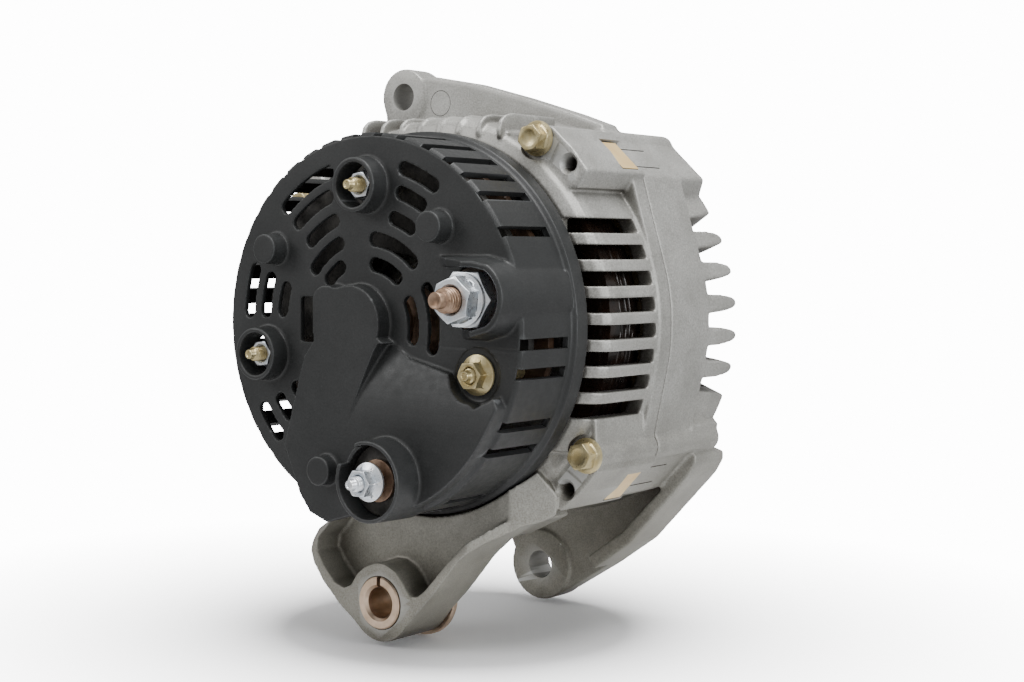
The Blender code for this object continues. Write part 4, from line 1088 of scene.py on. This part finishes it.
def pivot_bush(material):
    start, flange = REAR_LUG_Y - 0.5, REAR_LUG_END_Y + GAP
    end = flange + BUSH_FLANGE
    profile = [(6.2, start), (BUSH_R - 0.4, start), (BUSH_R, start + 0.4), (BUSH_R, flange)]
    profile += [(BUSH_FLANGE_R - 0.4, flange), (BUSH_FLANGE_R, flange + 0.4), (BUSH_FLANGE_R, end - 0.3)]
    profile += [(BUSH_FLANGE_R - 0.3, end), (5.7, end), (5.3, end - 0.5), (5.3, start + 1.0)]
    x, z = PIVOT
    slit = block((x - 0.8, 0.0, z), (x + 0.8, 60.0, z + 20.0))
    made = combined("pivot_bush_detail", turned(profile, PIVOT, 96), cut=[slit])
    put(smoothed(made, 35), material, "bronze", "split_bush", "pivot_bush")


def core_tabs(material):
    """The ends of the core's lobes, almost flush in the rear half's corner windows."""
    low, high = (CORE_R + 3.0, CORE_LOBE_START + 0.1, -7.6), (CORNER_FACE + 1.6, CORE_TAB_END, 5.5)
    first, *others = [at_corner(block(low, high), angle) for angle in CORNERS]
    made = crisp(combined("core_tabs", first, others), 0.2)
    put(made, material, "lamination", "housing")


# The winding


def strand(radius, middle, swing, phase, waves):
    """One wire that weaves round the winding's end head, as a closed curve's points."""
    points = []
    count = CORE_SLOTS * 8
    for i in range(count):
        turn = 2 * math.pi * i / count
        y = middle + swing * math.sin(waves * turn + phase)
        r = radius + 0.9 * math.cos(waves * turn * 0.5 + 2 * phase)
        points.append((r * math.cos(turn), y, r * math.sin(turn)))
    return points


def wire_curve(name, lines):
    curve = bpy.data.curves.new(name, "CURVE")
    curve.dimensions = "3D"
    curve.bevel_depth = WIRE_R * MM
    curve.bevel_resolution = 1
    for points in lines:
        spline = curve.splines.new("POLY")
        spline.points.add(len(points) - 1)
        spline.use_cyclic_u = True
        for point, place in zip(spline.points, points):
            point.co = (*(c * MM for c in place), 1.0)
    return new_object(name, curve)


def winding(material):
    """Both end heads as woven wires, over the CAD node that fills them."""
    draw = random.Random(7)
    lines = []
    for start, end in ((WINDING_REAR, CORE_START - GAP), (CORE_END + GAP, WINDING_FRONT)):
        middle, reach = (start + end) / 2, (end - start) / 2 - 1.2
        for waves, radius in WIRE_LAYERS:
            for i in range(WIRE_LEVELS):
                level = middle + reach * (2 * (i + 0.5) / WIRE_LEVELS - 1) * 0.82
                lines.append(strand(radius, level, reach * 0.18, draw.uniform(0, 6.3), waves))
    wires = wire_curve("winding_wires", lines)
    wires.data.transform(Matrix.Translation(SHAFT))
    wires.data.materials.append(material)
    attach(wires, "housing")


def brush_spring(name, middle, material):
    """A round-wire coil."""
    low, high = SPRING_ENDS
    section = circle(SPRING_WIRE_R, steps=8)
    count = SPRING_STEPS * SPRING_TURNS
    loops = []
    for i in range(count + 1):
        z = low + (high - low) * i / count
        points = [(*polar(SPRING_R + outwards, 360 * i / SPRING_STEPS), up) for outwards, up in section]
        loops.append([(x, middle + y, z + up) for x, y, up in points])
    made = mesh_object(f"brush_spring_{name}_detail", loft(loops))
    put(shaded(made), material, "steel", "housing", f"brush_spring_{name}")
    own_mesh(made)


# The drive end


def pulley(material):
    start, end = PULLEY_Y
    first = start + 1.2
    profile = [(8.3, start), (PULLEY_R - 0.3, start), (PULLEY_R, start + 0.3), (PULLEY_R, first)]
    for i in range(PULLEY_GROOVES):
        for radius, share in PULLEY_GROOVE:
            profile.append((radius, first + (i + share) * PULLEY_PITCH))
    profile += [(PULLEY_R, end - 0.4), (PULLEY_R - 0.4, end), (20.4, end), (20.0, end - 0.4)]
    profile += [(18.4, end - 6.4), (17.6, end - 7.0), (8.3, end - 7.0)]
    made = smoothed(mesh_object("pulley_detail", turned(profile, steps=128)), 28)
    put(made, material, "steel", "rotor", "pulley")


def pulley_nut(material):
    start, end = PULLEY_Y[1] - 7.0 + GAP, PULLEY_Y[1] + 4.0
    made = hexagonal("pulley_nut_detail", 24.0, start, end, (0.0, 0.0), 0.0, bevel=0.25)
    flange = [(0.0, start), (15.5, start), (15.5, start + 1.2), (12.5, start + 2.2), (0.0, start + 2.2)]
    made = combined_object(made, [turned(flange)], [rod(8.3, start - 1.0, end + 1.0)])
    put(shaded(made), material, "steel", "rotor", "pulley_nut")


def shaft(material):
    profile = [(0.0, SHAFT_START), (5.5, SHAFT_START), (6.5, SHAFT_START + 1.0), (6.5, 26.5)]
    profile += [(7.5, 27.0), (7.5, 41.0), (SHAFT_R, 41.5), (SHAFT_R, 104.5), (8.5, 105.0)]
    profile += [(8.5, 126.0), (8.0, 126.5)]
    y = 143.0
    while y < SHAFT_END - 1.6:
        profile += [(8.0, y), (7.35, y + 0.75)]
        y += 1.5
    profile += [(7.6, SHAFT_END - 1.0), (7.0, SHAFT_END), (0.0, SHAFT_END)]
    socket = [prism(hexagon(8.0), SHAFT_END - 9.0, SHAFT_END + 1.0)]
    made = combined("shaft_detail", turned(profile, steps=64), cut=socket)
    put(smoothed(made, 28), material, "steel", "rotor", "shaft")


# CAD nodes that stay


def smooth_by_angle():
    """A modifier's node group that shades smooth across edges under 35 degrees."""
    group = bpy.data.node_groups.new("smooth_by_angle", "GeometryNodeTree")
    group.interface.new_socket("Mesh", in_out="INPUT", socket_type="NodeSocketGeometry")
    group.interface.new_socket("Mesh", in_out="OUTPUT", socket_type="NodeSocketGeometry")
    new, link = group.nodes.new, group.links.new
    start, end = new("NodeGroupInput"), new("NodeGroupOutput")
    angle, compare = new("GeometryNodeInputMeshEdgeAngle"), new("FunctionNodeCompare")
    compare.data_type, compare.operation = "FLOAT", "LESS_EQUAL"
    compare.inputs[1].default_value = math.radians(35)
    faces, edges = new("GeometryNodeSetShadeSmooth"), new("GeometryNodeSetShadeSmooth")
    edges.domain = "EDGE"
    link(angle.outputs[0], compare.inputs[0])
    link(start.outputs[0], faces.inputs[0])
    link(faces.outputs[0], edges.inputs[0])
    link(compare.outputs[0], edges.inputs["Shade Smooth"])
    link(edges.outputs[0], end.inputs[0])
    return group


def finish_node(made, material, smoothing):
    made.data.materials.clear()
    made.data.materials.append(material)
    add_bevel(made, 0.15, 40)
    smooth = made.modifiers.new("Smooth", "NODES")
    smooth.node_group = smoothing


def remaining_nodes(looks):
    """Finishes the CAD nodes that no detailed piece stands for."""
    slots = {row["node"]: row["material_slot"] for row in frame["record"]["subparts"]}
    smoothing = smooth_by_angle()
    for name, made in frame["nodes"].items():
        if made.hide_render:
            continue
        # Nodes inside take the darker looks in INNER_LOOKS: painted shade.
        look = INNER_LOOKS.get(slots[name], slots[name])
        finish_node(made, looks[look], smoothing)


# The stage


def floor_material():
    """Pale paper that fades out into the white round it, so that no horizon shows."""
    look = Look("pale_floor", 0.7, 0.0)
    look.colour(look.tint(60.0, 1.0, (0.3, (0.93, 0.93, 0.94)), (0.7, (0.90, 0.90, 0.91))))
    length = look.node("VectorMath", {0: look.place}, operation="LENGTH")
    share = look.remap(length.outputs["Value"], 60.0, 260.0, 0.0, 1.0)
    clear = look.node("BsdfTransparent").outputs[0]
    mix = look.node("MixShader", {0: share, 1: look.shader.outputs[0], 2: clear})
    look.link(mix.outputs[0], look.tree.nodes["Material Output"].inputs["Surface"])
    return look.material


def floor(low):
    bm = bmesh.new()
    bmesh.ops.create_circle(bm, cap_ends=True, radius=FLOOR_R, segments=96)
    mesh = bpy.data.meshes.new("floor")
    bm.to_mesh(mesh)
    bm.free()
    mesh.materials.append(floor_material())
    made = new_object("floor", mesh)
    made.location = (0.0, MIDDLE[1], low.z - 0.5 * MM)


def area_light(name, place, size, power, colour=(1.0, 1.0, 1.0)):
    light = bpy.data.lights.new(name, "AREA")
    light.shape = "DISK"
    light.size = size
    light.energy = power
    light.color = colour
    made = new_object(name, light)
    made.location = place
    made.rotation_euler = (Vector(MIDDLE) - Vector(place)).to_track_quat("-Z", "Y").to_euler()


def studio():
    """White all round: the world looks brighter to the camera than the light that it gives."""
    world = bpy.data.worlds.new("studio")
    world.use_nodes = True
    nodes, links = world.node_tree.nodes, world.node_tree.links
    seen = nodes.new("ShaderNodeLightPath")
    strength = nodes.new("ShaderNodeMapRange")
    strength.inputs["To Min"].default_value = WORLD_LIGHT
    strength.inputs["To Max"].default_value = WORLD_SEEN
    links.new(seen.outputs["Is Camera Ray"], strength.inputs["Value"])
    links.new(strength.outputs["Result"], nodes["Background"].inputs["Strength"])
    nodes["Background"].inputs["Color"].default_value = (1.0, 1.0, 1.0, 1.0)
    bpy.context.scene.world = world
    for light in LIGHTS:
        area_light(*light)


def camera():
    heading, pitch, roll = (math.radians(a) for a in CAMERA_ANGLES)
    data = bpy.data.cameras.new("camera")
    data.lens = CAMERA_LENS
    data.sensor_width = 36.0
    data.clip_start, data.clip_end = 0.01, 60.0
    made = new_object("camera", data)
    turn = Matrix.Rotation(heading, 4, "Z") @ Matrix.Rotation(math.pi / 2 - pitch, 4, "X")
    turn = turn @ Matrix.Rotation(roll, 4, "Z")
    made.matrix_world = Matrix.Translation(SHAFT + Vector(CAMERA_PLACE) * MM) @ turn
    bpy.context.scene.camera = made


def main():
    looks = {
        "black_plastic": black_plastic(),
        "cast_aluminium": cast_aluminium(),
        "shade_dark_aluminium": shade_dark_aluminium(),
        "lamination": lamination(),
        "copper_wire": copper_wire(),
        "resin": resin(),
        "carbon": carbon(),
        "bronze": bronze(),
    }
    looks |= {name: machined_steel(name, colour) for name, colour in STEELS.items()}
    looks |= {name: plated(name, *tints) for name, tints in PLATINGS.items()}
    camera()
    studio()
    rear_cover(looks["black_plastic"])
    rear_frame(looks["cast_aluminium"])
    front_frame(looks["cast_aluminium"])
    fasteners(looks)
    pivot_bush(looks["bronze"])
    core_tabs(looks["lamination"])
    winding(looks["copper_wire"])
    for name, middle in SPRING_PLACES.items():
        brush_spring(name, middle, looks["steel"])
    pulley(looks["steel"])
    pulley_nut(looks["dark_steel"])
    shaft(looks["steel"])
    remaining_nodes(looks)
    floor(CAD_BOX[0])


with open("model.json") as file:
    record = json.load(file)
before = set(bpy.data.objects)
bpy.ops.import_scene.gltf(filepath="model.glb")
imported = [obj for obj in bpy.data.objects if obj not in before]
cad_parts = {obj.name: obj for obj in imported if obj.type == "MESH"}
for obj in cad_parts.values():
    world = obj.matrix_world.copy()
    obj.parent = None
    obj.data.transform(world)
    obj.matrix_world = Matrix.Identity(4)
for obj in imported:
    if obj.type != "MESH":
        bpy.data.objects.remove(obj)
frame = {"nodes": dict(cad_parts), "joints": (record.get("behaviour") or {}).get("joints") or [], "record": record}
CAD_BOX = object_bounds()
rotor = next(joint for joint in frame["joints"] if joint["name"] == "rotor_spin")
SHAFT = Vector((rotor["pos_m"][0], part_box("rear_cover")[0].y + PHASE_COLLAR * MM, rotor["pos_m"][2]))
main()
